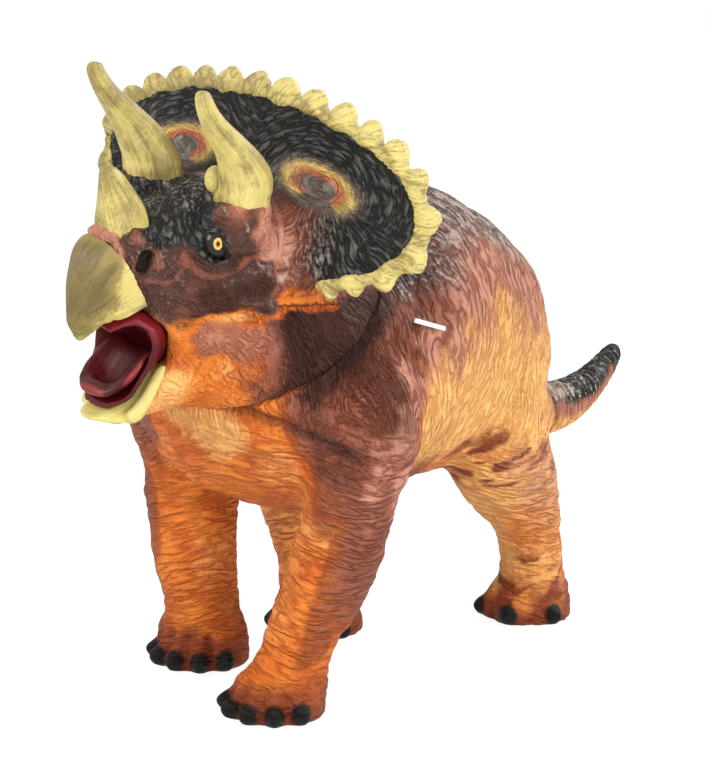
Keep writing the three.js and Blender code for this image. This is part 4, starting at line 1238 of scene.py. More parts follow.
def head_masks(points):
    local = to_head(points)
    x, y, z = local.T
    aside = np.abs(x)
    half = folded(local)
    frill, _, rise, off = frill_share(local)
    blot = speckle(points, 10, 31) - 0.5
    fine = speckle(points, 3.5, 32) - 0.5
    eye_off = np.linalg.norm(half - EYE, axis=1)

    ahead = ramp(off, -2.2, -0.6)
    rear = 1 - ahead
    edge = np.interp(y, *CHEEK_EDGE)
    soft = 1.3 + 2.6 * ramp(y, -25, -33)
    above = ramp(z + blot * 2.5 + fine * soft, edge - soft, edge + soft)
    fore = ramp(y + fine * 2.5, -9.5, -12.5)
    face = fore * above
    plain = (1 - fore) * ahead * ramp(z, 117, 121)
    lip = ramp(way_off(half, ORANGE_LIP) + fine * 3, 3.8, 1.8) * ramp(y, 7, 4) * (1 - above * fore)
    keep = 1 - lip

    dark = np.maximum(ramp(aside + blot * 4 + fine * 3, 21, 36), ramp(z + blot * 6, 140, 149))
    snout = face * ramp(z + blot * 7 + (y + 34) * 0.25, 136, 142) * ramp(aside, 22, 16)
    bridge = ramp(way_off(half, BRIDGE) + blot * 4, 7, 2.5)
    back = rear * ramp(rise + blot * 12, -2, 12) * frill
    socket = ramp(eye_off + fine * 0.8, 6.6, 5.6) * fore
    charcoal = most(plain * dark, most(snout, bridge * face) * 0.9, back, socket)
    patch = face * ramp(way_off(half, DARK_CHEEK) + blot * 4 + fine * 4, 7.5, 2.0)
    dust = plain * ramp(way_off(half, DUSTY_TEMPLE) + fine * 2, 14, 3) * keep
    face_dust = face * ramp(eye_off, 8, 12) * (0.34 + blot * 0.5) * (1 - patch)

    temple = plain * (1 - dark)
    skull = ramp(z + fine * 2, 117, 120)
    under = (1 - above) * ramp(z, 124, 118)
    cheek = ramp(way_off(half, JAW_CORNER) + fine * 5, 7.5, 2.5) * under
    neck = ramp(y + blot * 7, -20, -4) * ramp(z, 124, 117)
    nape = ramp(y + blot * 9 + fine * 4, -21, -9) * ramp(z, 124, 117)
    corner = ramp(way_off(half, MOUTH_CORNER) + fine * 3, 4.5, 1.5)
    mauve = most(temple, cheek * 0.8, corner * 0.25, skull, nape, rear)
    # the raised lines of the face are painted paler mauve and less brown: a painted highlight
    ridge = face_ridges(half, fine) * ramp(eye_off, 7.2, 8.6) * (0.85 + blot * 1.3)
    bead = ramp(y, -47.8, -49.4)
    flush = np.maximum(ramp(way_off(half, BROW_FLUSH) + fine * 4, 8.5, 3), bead)
    pale = most(temple * 0.2, flush * (1 - 0.3 * bead), np.maximum(ridge * face, cheek) * 0.45)
    fore_jaw = ramp(y + blot * 10, -24, -38) * ramp(z + blot * 6, 106, 98)
    strip = ramp(z, edge - 6, edge - 2) * ramp(y, -10, -14)

    spot_off, about = frill_spot(aside, rise)
    given = {
        "mauve": mauve * keep,
        "pale": pale + fine * 0.5,
        "charcoal": charcoal * keep * (1 - bead),
        "ash": 0.06 + rear * 0.4,
        "dust": np.maximum(dust * 0.62, face_dust),
        "glow": (1 - above) * (0.12 + blot * 0.8 + fore_jaw * 0.75 + strip * 0.3) * (1 - lip * 0.5),
        "rust": (1 - above) * keep * 0.15,
        "umber": np.maximum(neck * (0.9 + blot * 0.4), patch * 0.97) * keep * (1 - charcoal),
        "brown": face * (0.95 + blot * 0.5 + fine * 0.5) * (1 - ridge * 0.5) * (1 - flush),
        "spot": np.where(ahead > 0.5, frill * (1.02 - spot_off) - (1 - frill), -1),
        "flare": 0.7 + 0.12 * np.cos(about) - 0.75 * ramp(np.abs(about + 1.45), 1.0, 0.4) + blot * 0.3,
        # how deep the folds are and how much painted shade their creases get: most on the neck
        "worn": 0.05 + 0.65 * np.maximum(neck, nape) + 0.35 * skull * (1 - face),
        # painted shadow inside the nostrils
        "deep": ramp(way_off(half, NOSTRIL) + fine * 0.5, 2.2, 1.4),
    }
    return all_masks(len(points), given)


def eye_circle(radius, out, start, end, count=13):
    """Part of a circle round the left eye, seen along the way that it faces, in degrees from its front."""
    way = unit(LIDS_FACING)
    up = upright(way)
    rear = np.cross(way, up)
    rear *= np.sign(rear[1])
    angle = np.radians(np.linspace(start, end, count))[:, None]
    return EYE + way * out + radius * (-np.cos(angle) * rear + np.sin(angle) * up)


# Lines that the sculptor draws on the left of the face, in the head's own places, each with its
# width and its height; the right has the same
FACE_LINES = (
    (eye_circle(4.5, 2.0, 0, 360, 25), 1.2, 1.7),
    (eye_circle(5.2, 2.4, 20, 160), 1.5, 1.5),
    (eye_circle(7.6, 0.5, -30, -200), 0.9, -1.2),
    (eye_circle(9.2, 0.3, -20, -205), 1.3, 1.1),
    (eye_circle(11.2, 0.0, -35, -190), 1.0, -0.8),
    (((8, -45, 137), (13, -38, 141), (17, -31, 143.5), (20, -26, 144.5), (24, -19, 142)), 2.4, 1.5),
    (((12, -40, 137.5), (15, -34, 139.5)), 2.2, -1.2),
    (((8.8, -46.4, 130), (9, -45, 134), (10.2, -42, 136), (11.6, -40.6, 134), (12, -41, 130.5)), 1.3, 1.4),
    (((10.2, -44.9, 129.9), (10.2, -43.5, 132.9)), 1.5, -2.8),
    (((10.5, -44, 126.6), (13.5, -38, 126.2), (15.5, -34.5, 129), (15, -35, 134)), 1.4, 0.9),
    (((9.5, -37, 116.5), (13.5, -30, 117), (17.8, -25.4, 119.5), (21, -19, 120), (24, -14, 119.4)), 1.7, 1.2),
    (
        ((9.5, -37, 113), (13.5, -30, 113.6), (17.8, -25.4, 115.6), (21, -19, 116), (25, -12, 114.4)),
        1.6,
        -1.3,
    ),
    (((25.2, -12.5, 121.5), (25, -12.5, 124), (24.2, -13.5, 129)), 1.6, 0.9),
    (((26.5, -8.5, 118), (26, -8.5, 123), (25, -9.5, 130)), 1.6, -1.4),
    (((22, -15, 134), (25, -11, 138), (27, -6, 141)), 2.0, 1.2),
    (((10.5, -45, 118), (14, -37, 113), (16, -32.5, 109)), 1.5, 1.3),
    (((16.4, -32, 109), (15, -36, 103.5), (11, -43, 99.5)), 1.5, 1.0),
    (((18, -30, 110), (22, -24, 104), (24, -17, 99)), 1.8, 1.0),
    (((20, -27, 113), (25, -18, 107), (28, -11, 101)), 1.6, -0.9),
    (((27, -7, 128), (29, -5, 136), (30, -3, 143)), 1.2, 0.6),
    (((30, -6, 124), (33, -4, 132), (35, -3, 139)), 1.2, 0.6),
    (ORANGE_LIP, 2.0, 1.4),
)
# The roll of skin round the corner of the mouth, and what fills it: places and radii
CHEEK_ROLL = (
    (9.6, -38.8, 117.6, 2.2),
    (11.6, -35.4, 114.6, 2.7),
    (12.4, -33.2, 110.6, 3.0),
    (12.6, -33.0, 106, 3.1),
    (12.4, -34.4, 101.4, 2.8),
    (12.0, -37.0, 97.5, 2.2),
)
CHEEK_FILL = ((13, -32.5, 113, 3), (13.4, -30, 108.5, 4), (13.6, -30.6, 103, 4), (13, -33.5, 98, 3.4))


def sculpt_head(skin):
    """Lids, nostrils, cheeks and lips, then the frill's and the neck's folds."""
    local = to_head(skin.points)
    half = folded(local)
    for path, width, height in FACE_LINES:
        skin.stroke(half, path, width * 1.15, height * 0.9)
    frill, side, rise, off = frill_share(local)
    folds, rings, ringed, join = head_patterns(skin.points)
    plate = frill * ramp(np.abs(off), 0.6, 1.6)
    neck = (1 - frill) * ramp(local[:, 1], -14, -2)
    face = (1 - frill) * (1 - neck) * ramp(local[:, 1], -44, -36)
    temple = ramp(local[:, 2], 117, 121)
    free = 1 - join
    skin.crumple(folds * 0.5, 41, 0.6, plate, 1 - ringed, free)
    skin.crumple(rings * 0.5, 41, 0.6, plate, ringed, free)
    skin.knead(9, 44, 1.6, plate, ramp(frill_reach(side, rise), 1, 0.8))
    skin.crumple(rings * 0.55, 42, (1.5 - 1.0 * temple) * neck + 0.32 * face, free)
    skin.knead(5, 43, 0.7, 1 - frill)


BROW_SEAT = np.array([18.6, -19.4, 136.0])
NOSE_SEAT = np.array([0, -44, 130.0])


def head_solids():
    """The head's casting with its neck, the horns' pedestals, the lids and the cheeks' rolls."""
    up = head_way([0, 0, 1])
    solids = [
        node_solid("head_shell"),
        rod(NECK_SEAM, NECK_WAY, NECK_RADIUS, -10, 3),
        rod(from_head(NOSE_SEAT), up, 6.6, -2, 9.8),
        *[rod(from_head(BROW_SEAT * [s, 1, 1]), up, 8.2, -2, 11) for s in (-1, 1)],
    ]
    points, faces = egg([0, 0, 0], (5.6, 2.6, 2.0))
    solids.append((from_head(points + [0, -50.2, 137.2]), faces))
    for s in (-1, 1):
        points, faces = egg([0, 0, 0], (4.6, 4.6, 4.6))
        solids.append((points + from_head([s * 12.6, *EYE[1:]]), faces))
        solids += beads(CHEEK_ROLL, 24, s, upright_ball)
        solids += beads(CHEEK_FILL, 14, s, upright_ball)
    return solids


class FIGURE_OT_head(bpy.types.Operator):
    """Cast, sculpt and paint the head's skin with its frill"""

    bl_idname = "figure.head"
    bl_label = "Head"

    def execute(self, context):
        skin = cast(head_solids(), context.scene.fold_sizes.head_grain)
        local = to_head(skin.points)
        frill, side, rise, _ = frill_share(local)
        edge = frill * ramp(frill_reach(side, rise), 0.86, 0.96)
        lips = ramp(local[:, 1], -38, -46)
        skin.relax(30, np.maximum(edge, lips * 0.8))
        local = to_head(skin.points)
        local[:, 2] -= jaw_drop(local) * 1.1
        skin.move(local)
        sculpt_head(skin)
        seats = [
            rod(NECK_SEAM, NECK_WAY, *NECK_SPIGOT_HOLE),
            rod(NECK_SEAM, NECK_WAY, *NECK_RING_ROOM),
            node_solid("head_filling"),
        ]
        made = opened("head_skin", skin, [(NECK_SEAM, -NECK_WAY)], seats)
        points = places_of(made.data)
        folds, rings, ringed, join = head_patterns(points)
        masks = {**head_masks(points), "ringed": ringed, "calm": join}
        dress(made, {"folds": folds, "rings": rings, **masks})
        seat(made, "head", "painted_skin", "head_shell")
        return {"FINISHED"}


# Tail

TAIL_LENGTH = 58
# Along the tail in shares of its length: how far its middle is over the seam's, and how thick it is
TAIL_LIFT = ([0, 0.25, 0.5, 0.75, 0.93, 1], [0, -1.2, -0.5, 3, 7.8, 10])
TAIL_TAPER = ([0, 0.5, 0.75, 1], [1, 0.76, 0.58, 0.3])
RING_GAP = 2.9


def ring_way(points):
    """How far back each place is, swayed as the tail's rings are."""
    return points[:, 1] + speckle(points, 6, 51) * 1.6


def ringed_at(points):
    """From 0 in the groove between two of the tail's rings to 1 on a ring."""
    return np.abs(np.sin(ring_way(points) / RING_GAP * math.pi)) ** 0.6


def tail_masks(points):
    _, y, z = points.T
    back = y - TAIL_SEAM[1]
    share = back / TAIL_LENGTH
    middle = TAIL_SEAM[2] + np.interp(share, *TAIL_LIFT)
    radius = TAIL_RADIUS * np.interp(share, *TAIL_TAPER)
    rise = (z - middle) / radius + (speckle(points, 6, 53) - 0.5) * 0.7
    charcoal = np.maximum(ramp(rise, -0.25, 0.55), ramp(back, 42, 55))
    given = {
        "pale": np.full(len(points), 0.9),
        "charcoal": charcoal,
        "ash": charcoal * np.interp(back, [4, 40], [1.6, 0.35]),
        "dust": ramp(rise, 0.0, 0.6) * np.interp(back, [4, 24], [1.3, 0.1]),
        "mauve": ramp(rise, -0.75, -0.1),
        "glow": ramp(rise, 0.1, -0.5),
        # deeper painted shade in the grooves between the rings
        "worn": 0.5 + 0.5 * ramp(ringed_at(points), 0.5, 0.1),
    }
    return all_masks(len(points), given)


class FIGURE_OT_tail(bpy.types.Operator):
    """Cast, sculpt and paint the ringed tail"""

    bl_idname = "figure.tail"
    bl_label = "Tail"

    def execute(self, context):
        solids = [node_solid("tail_shell"), rod(TAIL_SEAM, TAIL_WAY, TAIL_RADIUS, -4, 4)]
        skin = cast(solids, context.scene.fold_sizes.tail_grain)
        skin.relax(60)
        back = skin.points[:, 1] - TAIL_SEAM[1]
        skin.push(ringed_at(skin.points) - 0.6, 0.9, ramp(back, -4, 3))
        skin.knead(2.2, 52, 0.35)
        seats = [rod(TAIL_SEAM, TAIL_WAY, *room) for room in (TAIL_SPIGOT_HOLE, TAIL_RING_ROOM)]
        made = opened("tail_skin", skin, [(TAIL_SEAM, -TAIL_WAY)], seats)
        points = places_of(made.data)
        folds = np.stack([ring_way(points) / 1.5, points[:, 0] / 8, points[:, 2] / 8], 1)
        dress(made, {"folds": folds, "rings": points / 4, **tail_masks(points)})
        seat(made, "tail", "painted_skin", "tail_shell")
        return {"FINISHED"}


# Horns, beak and scallops

# Along its length, then forward and aside as shares of it, and its thickness as a share of the root
BROW_HORN = (
    (-0.2, -0.02, -0.02, 0.98),
    (0, 0, 0, 1.02),
    (0.1, 0.0, 0.03, 1.02),
    (0.25, 0.06, 0.07, 0.95),
    (0.4, 0.16, 0.09, 0.83),
    (0.55, 0.3, 0.1, 0.66),
    (0.7, 0.45, 0.11, 0.5),
    (0.82, 0.55, 0.12, 0.39),
    (0.93, 0.61, 0.13, 0.31),
    (0.985, 0.62, 0.13, 0.22),
    (1.0, 0.62, 0.13, 0.08),
)
NOSE_HORN = (
    (-0.23, 0, 0, 1.04),
    (0, 0, 0, 1.08),
    (0.2, 0.03, 0, 1.0),
    (0.4, 0.09, 0, 0.86),
    (0.6, 0.17, 0, 0.7),
    (0.8, 0.26, 0, 0.53),
    (0.93, 0.33, 0, 0.38),
    (0.985, 0.355, 0, 0.26),
    (1.0, 0.36, 0, 0.08),
)


def horn_relief(probe, spin, along, seed):
    """A horn's reach at one height as a share of its smooth one, and how much wash lies there."""
    lump = speckle(probe + seed, 1.0, seed) - 0.5
    fine = np.abs(speckle(probe * [3.2, 3.2, 1.0] + seed, 1.0, seed + 1) - 0.5)
    ring = speckle(probe * [1, 1, 3] + seed, 1.0, seed + 2) - 0.5
    broad = speckle(probe * [0.7, 0.7, 1.4] + seed, 1.0, seed + 3) - 0.5
    foot = ramp(along, 0.34, 0.02)
    flute = foot * np.abs(np.sin(spin * 3.5 + lump * 3 + seed))
    relief = 1 + lump * 0.16 + fine * 0.08 - 0.03 + ring * 0.06 + flute * 0.04 - foot * 0.02
    hollow = ramp(flute, 0.25, 0) * foot * 0.3
    return relief, ramp(fine, 0.1, 0.0) * 0.3 + broad * 1.1 + hollow


HORN_SIDES = 110
HORN_RINGS = 110


def horn_piece(name, rows, length, radius, foot, mirror, seed, washed, knob=None):
    """A curved horn whose fine grooves run from its wavy foot to its tip."""
    around = np.linspace(0, 2 * math.pi, HORN_SIDES, endpoint=False)
    rings, grooves, streaks = [], [], []
    for along, ahead, aside, thick in eased(rows, HORN_RINGS):
        middle = foot + np.array([mirror * aside * length, -ahead * length, along * length])
        spin = around + 0.5 * along
        rise = np.full(HORN_SIDES, along * length / 16)
        probe = np.stack([np.cos(spin) * 2.2, np.sin(spin) * 2.2, rise], 1)
        relief, groove = horn_relief(probe, spin, along, seed)
        reach = radius * thick * relief
        rings.append(middle + np.stack([np.cos(around) * reach, np.sin(around) * reach, 0 * reach], 1))
        grooves.append(groove + washed)
        streaks.append(probe * [3.0, 3.0, 0.9])
    points, faces = lofted(rings)
    groove = np.concatenate([*grooves, [0, 0]])
    streak = np.concatenate([*streaks, [streaks[0][0]], [streaks[-1][0]]])
    if knob:
        bump = egg(knob, (2.6, 2.6, 3.6))
        points, faces = joined([(points, faces), bump])
        groove = np.concatenate([groove, np.full(len(bump[0]), 0.3)])
        streak = np.concatenate([streak, bump[0] / 3])
    layers = {"streaks": streak, "groove": groove}
    piece(name + "_cast", (from_head(points), faces), layers, "head", "horn_cream", name)


class FIGURE_OT_horns(bpy.types.Operator):
    """Make the two brow horns and the nose horn"""

    bl_idname = "figure.horns"
    bl_label = "Horns"

    def execute(self, context):
        sizes = context.scene.horn_sizes
        long, thick = sizes.brow_length, sizes.brow_radius
        left = BROW_SEAT + [0, 0, 12.2]
        right = left * [-1, 1, 1]
        nose = NOSE_SEAT + [0, 0, 10.3]
        knob = (14.0, -25.2, 152.2)
        # Name, sections, length, root's radius, foot, side, seed, extra wash and the knob on its foot
        horns = (
            ("left_brow_horn", BROW_HORN, long, thick * 0.92, left, 1, 3, 0.1, knob),
            ("right_brow_horn", BROW_HORN, long * 0.96, thick * 0.99, right, -1, 8, 0.4),
            ("nose_horn", NOSE_HORN, sizes.nose_length, sizes.nose_radius, nose, 1, 5, 0.4),
        )
        for horn in horns:
            horn_piece(*horn)
        return {"FINISHED"}


BUMP_HALVES = (5.1, 3.0, 4.4)
RIM_STEPS = 2001


def bump_rows(count):
    """The frill's bumps on the bench: place, way out, facing and size of each."""
    gaps = np.interp(np.arange(count), [0, count / 2, count], [0.78, 1.12, 0.78])
    share = (np.cumsum(gaps) - gaps / 2) / gaps.sum()
    whole = rim_places(RIM_STEPS)
    at = np.linspace(0, 1, RIM_STEPS)
    line, out = [np.stack([np.interp(share, at, rows[:, k]) for k in range(2)], 1) for rows in whole]
    ends = np.minimum(np.arange(count), np.arange(count)[::-1]) + 0.5
    uneven = 0.93 + 0.14 * speckle(np.stack([share * 90] * 3, 1), 1.0, 61)
    full = np.interp(ends, [0, 3], [0.62, 1.0]) * uneven
    spots = frill_place(*(line + out * 1.9).T)
    lift = frill_place(*(line + out * 2.9).T) - spots
    lift /= np.linalg.norm(lift, axis=1)[:, None]
    size = full[:, None] * np.stack([gaps / 1.05, gaps * 0 + 1, gaps * 0 + 1], 1)
    facing = np.tile(head_way(FRILL_FACING), (count, 1))
    return from_head(spots), {"outward": head_way(lift), "facing": facing, "full": size}


SCALLOP_INPUTS = {"Geometry": "Geometry", "Bump": "Object", "Size": "Float", "Finish": "Material"}


def scallop_nodes():
    """Geometry nodes that set one bump on each point of a row, and their inputs' identifiers."""
    tree = bpy.data.node_groups.new("scallops", "GeometryNodeTree")
    inputs = {}
    for name, kind in SCALLOP_INPUTS.items():
        made = tree.interface.new_socket(name, in_out="INPUT", socket_type="NodeSocket" + kind)
        inputs[name] = made.identifier
    tree.interface.new_socket("Geometry", in_out="OUTPUT", socket_type="NodeSocketGeometry")
    g = Graph(tree)
    given = g.node("NodeGroupInput")

    def named(name):
        return g.node("GeometryNodeInputNamedAttribute", {"data_type": "FLOAT_VECTOR"}, {"Name": name})

    axes = {"primary_axis": "Z", "secondary_axis": "Y"}
    aim = g.node("FunctionNodeAxesToRotation", axes, [named("outward"), named("facing")])
    bump = g.node("GeometryNodeObjectInfo", values={"Object": given.twin("Bump")}, out="Geometry")
    full = g.node("ShaderNodeVectorMath", {"operation": "MULTIPLY"}, [named("full"), given.twin("Size")])
    row = {"Points": given, "Instance": bump, "Rotation": aim, "Scale": full}
    placed = g.node("GeometryNodeInstanceOnPoints", values=row)
    real = g.node("GeometryNodeRealizeInstances", values=[placed])
    finish = {"Geometry": real, "Material": given.twin("Finish")}
    finished = g.node("GeometryNodeSetMaterial", values=finish)
    g.node("NodeGroupOutput", values=[finished])
    return tree, inputs


def scallop_row(count):
    """The row of bumps along the rim, as one solid."""
    places, layers = bump_rows(count)
    row = show("scallop_row", mesh_of("scallop_row", places, []))
    dress(row, layers)
    points, faces = egg([0, 0, 0], BUMP_HALVES, sides=40, rings=28)
    points[:, 0] *= 1 - 0.36 * points[:, 2] / BUMP_HALVES[2]
    lump = show("scallop", mesh_of("scallop", points, faces))
    nodes = row.modifiers.new("scallops", "NODES")
    nodes.node_group, inputs = scallop_nodes()
    nodes[inputs["Bump"]] = lump
    nodes[inputs["Size"]] = 1.0
    nodes[inputs["Finish"]] = finishes()["horn_cream"]
    mesh = evaluated(row)
    bpy.data.objects.remove(row)
    bpy.data.objects.remove(lump)
    return places_of(mesh), [list(face.vertices) for face in mesh.polygons]


def boxy(wave):
    """A sine or cosine drawn out towards a square's corners."""
    return np.sign(wave) * np.abs(wave) ** 0.7


def edging_band():
    """The strip that grips the rim, under the bumps."""
    count = 220
    rings = []
    around = np.linspace(0, 2 * math.pi, 24, endpoint=False)
    for i, (place, way) in enumerate(zip(*rim_places(count))):
        taper = np.interp(min(i, count - 1 - i), [0, 10], [0.6, 1.0])
        reach = 0.5 + 1.9 * boxy(np.cos(around)) * taper
        depth = 2.6 * boxy(np.sin(around)) * taper
        flat = place + reach[:, None] * way
        rings.append(frill_place(flat[:, 0], flat[:, 1]) + depth[:, None] * FRILL_FACING)
    points, faces = lofted(rings)
    return from_head(points), faces


class FIGURE_OT_edging(bpy.types.Operator):
    """Make the frill's scalloped edging"""

    bl_idname = "figure.edging"
    bl_label = "Frill edging"

    def execute(self, context):
        skin = cast([scallop_row(context.scene.horn_sizes.scallops), edging_band()], voxel=0.45)
        skin.relax(4)
        local = to_head(skin.points)
        _, side, rise, off = frill_share(local)
        angle = np.arctan2(rise * 2.0, side)
        reach = np.hypot(side, rise * 2.6)
        probe = np.stack([angle * 40 + reach * 0.1 + off * 0.1, reach / 8, off / 6], 1)
        ridges = np.abs(speckle(probe, 1.0, 71) - 0.5)
        skin.push(ridges * 0.9 - 0.3)
        skin.knead(4.0, 72, 1.2)
        # darker at the scallops' roots and towards the frill's right end: painted shade, laid into the groove
        # mask with the wash
        inner = ramp(frill_reach(side, rise), 1.16, 1.02)
        shade = ramp(side, 22, -26) * 0.45 + inner * 0.35 - 0.2
        layers = {"streaks": probe * 1.2, "groove": ramp(ridges, 0.1, 0.0) * 0.7 + shade}
        piece("frill_scallops", skin.solid, layers, "head", "horn_cream", "frill_edging")
        return {"FINISHED"}


BEAK_LENGTH = 22.6
BEAK_HALF = 12.5
BEAK_SKIRT = 6.0
BEAK_LINE = 112  # the height that both caps' streaks fan out from
# The upper beak's sections: forward as a share of its length, drop as a share of its half width,
# lean in degrees, then half its width and half its depth as shares of its half width
BEAK_ROWS = (
    (-0.1, 0, 0, 1.0, 1.02),
    (0.12, 0, -2, 1.0, 1.0),
    (0.26, 0, -5, 0.95, 0.93),
    (0.4, 0.07, -14, 0.84, 0.86),
    (0.52, 0.24, -32, 0.66, 0.76),
    (0.61, 0.52, -52, 0.46, 0.58),
    (0.68, 0.9, -68, 0.32, 0.42),
    (0.69, 1.22, -82, 0.22, 0.28),
    (0.68, 1.46, -90, 0.13, 0.17),
    (0.66, 1.56, -92, 0.04, 0.05),
)
# The thickened edge of each cap, from its front to the corner of the mouth, and its radius
BEAK_EDGE = (
    (1.2, -54.4, 113.6, 2.2),
    (2.6, -52.0, 116.0, 2.8),
    (4.6, -49.0, 119.0, 3.4),
    (6.4, -46.0, 121.8, 3.8),
)
JAW_EDGE = (
    (9.2, -44.4, 95.4, 2.2),
    (10.6, -41.6, 97.4, 2.3),
    (11.2, -39.0, 99.6, 2.0),
    (11.4, -36.8, 101.8, 1.4),
)
REAR_LEAN = math.radians(28)
# Where the upper cap is cut square: a place on each cut and the way of what goes
REAR_CUT = ((0, -47.6, 128), (0, math.cos(REAR_LEAN), math.sin(REAR_LEAN)))
LOWER_CUT = ((0, -43.0, 120.0), (0, 0.627, -0.779))


def upper_beak():
    """A hooked cap whose sides hang down to a straight lower edge."""
    around = np.linspace(0, 2 * math.pi, 56, endpoint=False)
    rings = []
    for ahead, drop, lean, wide, high in eased(BEAK_ROWS, 40):
        lean = math.radians(lean)
        across = BEAK_HALF * wide * np.cos(around)
        up = BEAK_HALF * high * np.sin(around)
        skirt = np.maximum(-np.sin(around), 0) * BEAK_SKIRT * ramp(ahead, 0.7, 0.5)
        y = -40 - BEAK_LENGTH * ahead + up * math.sin(lean)
        z = 128 - BEAK_HALF * drop + up * math.cos(lean) - skirt
        rings.append(np.stack([across, y, z], 1))
    points, faces = lofted(rings)
    return from_head(points), faces


def beak_lines(probe):
    """Fine streaks that run from a cap's rear edge: 0 on a streak, up to a half between two."""
    return np.abs(speckle(probe * [1.7, 1, 1], 1.0, 81) - 0.5)


def cap_layers(mesh, upper):
    """The patterns of a cap and how dark it is painted: darker in the upper one's hollow front."""
    points = places_of(mesh)
    x, y, z = to_head(points).T
    if upper:
        probe = np.stack([np.arctan2(x, z - BEAK_LINE) * 10, (y + 0.5 * z) / 12, z / 16], 1)
    else:
        probe = np.stack([np.arctan2(x, BEAK_LINE - z) * 9, y / 10, z / 10], 1)
    lines = beak_lines(probe)
    hollow = ramp(y + speckle(points, 6, 84) * 5, -46.5, -53.5) * ramp(z, 108, 120)
    front = hollow * (1.2 + lines * 4.0) - 0.1 if upper else -0.5
    return {"streaks": probe * [3.2, 2, 2], "groove": ramp(lines, 0.1, 0.0) * 0.5 + front}


def upper_cap():
    solids = [upper_beak()]
    for s in (-1, 1):
        solids += beads(BEAK_EDGE, 20, s, turned_ball)
    skin = cast(solids, voxel=0.5)
    skin.relax(6)
    x, y, z = to_head(skin.points).T
    lines = beak_lines(np.stack([np.arctan2(x, z - BEAK_LINE) * 10, y / 9, z / 12], 1))
    skin.push((lines - 0.2) * 1.3)
    skin.knead(5, 82, 0.8)
    mesh = mesh_of("upper_beak_cast", *skin.solid)
    for place, way in (REAR_CUT, LOWER_CUT):
        cut_square(mesh, from_head(place), head_way(way))
    return mesh


def lower_cap():
    solids = [node_solid("lower_beak")]
    for s in (-1, 1):
        solids += beads(JAW_EDGE, 16, s, turned_ball)
    skin = cast(solids, voxel=0.42)
    skin.relax(10)
    local = to_head(skin.points)
    chin = ramp(local[:, 1], -36, -46) * ramp(local[:, 2], 96, 90)
    local[:, 2] -= jaw_drop(local) * 1.12 + chin * 1.2
    skin.move(local)
    skin.knead(4, 83, 0.6)
    return mesh_of("lower_beak_cast", *skin.solid)


class FIGURE_OT_beak(bpy.types.Operator):
    """Make the two caps of the beak"""

    bl_idname = "figure.beak"
    bl_label = "Beak"

    def execute(self, context):
        for node, mesh, upper in (("upper_beak", upper_cap(), True), ("lower_beak", lower_cap(), False)):
            made = show(node + "_cast", mesh)
            dress(made, cap_layers(mesh, upper))
            seat(made, "head", "horn_cream", node)
        return {"FINISHED"}


# Mouth and eyes


def jaw_drop(local):
    """How much lower than the casting the lip of the jaw is sculpted, towards its front."""
    fore = ramp(local[:, 1], -37, -45)
    return 5.4 * fore * ramp(local[:, 2], 87.5, 95.5) * ramp(local[:, 2], 108, 99)


def lip_reach(local):
    """How much further forward than the casting the lips' sides are sculpted."""
    sides = ramp(np.abs(local[:, 0]), 4, 9) * ramp(local[:, 2], 93, 99) * ramp(local[:, 2], 122, 112)
    return 0.8 * sides * ramp(local[:, 1], -31, -38)


def mouth_lining():
    skin = cast([node_solid("mouth_liner")], voxel=0.45)
    skin.relax(16)
    local = to_head(skin.points)
    local -= np.stack([local[:, 0] * 0, lip_reach(local), jaw_drop(local)], 1)
    skin.move(local)
    skin.knead(5, 91, 0.6)
    # 1 towards the top of the lining, painted in the brighter maroon as painted light
    rim = ramp(local[:, 2], 104, 114) * 0.7
    piece("mouth_lining", skin.solid, {"rim": rim}, "head", "mouth_red", "mouth_liner")


def tongue():
    skin = cast([node_solid("tongue")], voxel=0.35)
    skin.relax(20)
    local = to_head(skin.points)
    low, high = local.min(axis=0), local.max(axis=0)
    middle = (low + high) / 2
    share = (local - low) / (high - low)
    across = np.abs(share[:, 0] - 0.5) * 2
    bowl = ramp(across, 0.8, 0.15) * ramp(share[:, 1], 0.02, 0.3) * ramp(share[:, 2], 0.3, 0.7)
    local[:, 2] -= bowl * 2.2
    local = middle + (local - middle) * [1.6, 1.1, 1.0]
    local[:, 2] += 1.6 * ramp(across, 0.5, 0.95)
    local[:, 2] -= jaw_drop(local - [0, 0, 2]) * 0.9
    skin.move(local)
    # the tongue's edges, painted in the lighter colour as a painted highlight
    rim = np.maximum(ramp(across, 0.82, 0.98), ramp(share[:, 1], 0.1, 0.01))
    piece("tongue_cast", skin.solid, {"rim": rim}, "head", "tongue_pink", "tongue")


class FIGURE_OT_mouth(bpy.types.Operator):
    """Make the mouth's lining and the spoon-shaped tongue"""

    bl_idname = "figure.mouth"
    bl_label = "Mouth"

    def execute(self, context):
        mouth_lining()
        tongue()
        return {"FINISHED"}


EYE_RADIUS = 4.2


class FIGURE_OT_eyes(bpy.types.Operator):
    """Make the two glossy eyes"""

    bl_idname = "figure.eyes"
    bl_label = "Eyes"

    def execute(self, context):
        for name, mirror in (("left_eye", 1), ("right_eye", -1)):
            middle = EYE * [mirror, 1, 1]
            points, faces = egg([0, 0, 0], (1, 1, 1), sides=96, rings=64)
            gaze = unit(GAZE * [mirror, 1, 1])
            tall = upright(gaze)
            side = np.cross(gaze, tall)
            off = np.hypot(points @ tall * 0.9, points @ side * 1.2)
            layers = {"gaze": np.where(points @ gaze > 0, off, 1.0)}
            ball = (from_head(points * EYE_RADIUS + middle), faces)
            piece(name + "_ball", ball, layers, "head", "eye_black", name)
        return {"FINISHED"}


# What lies inside, and the tag


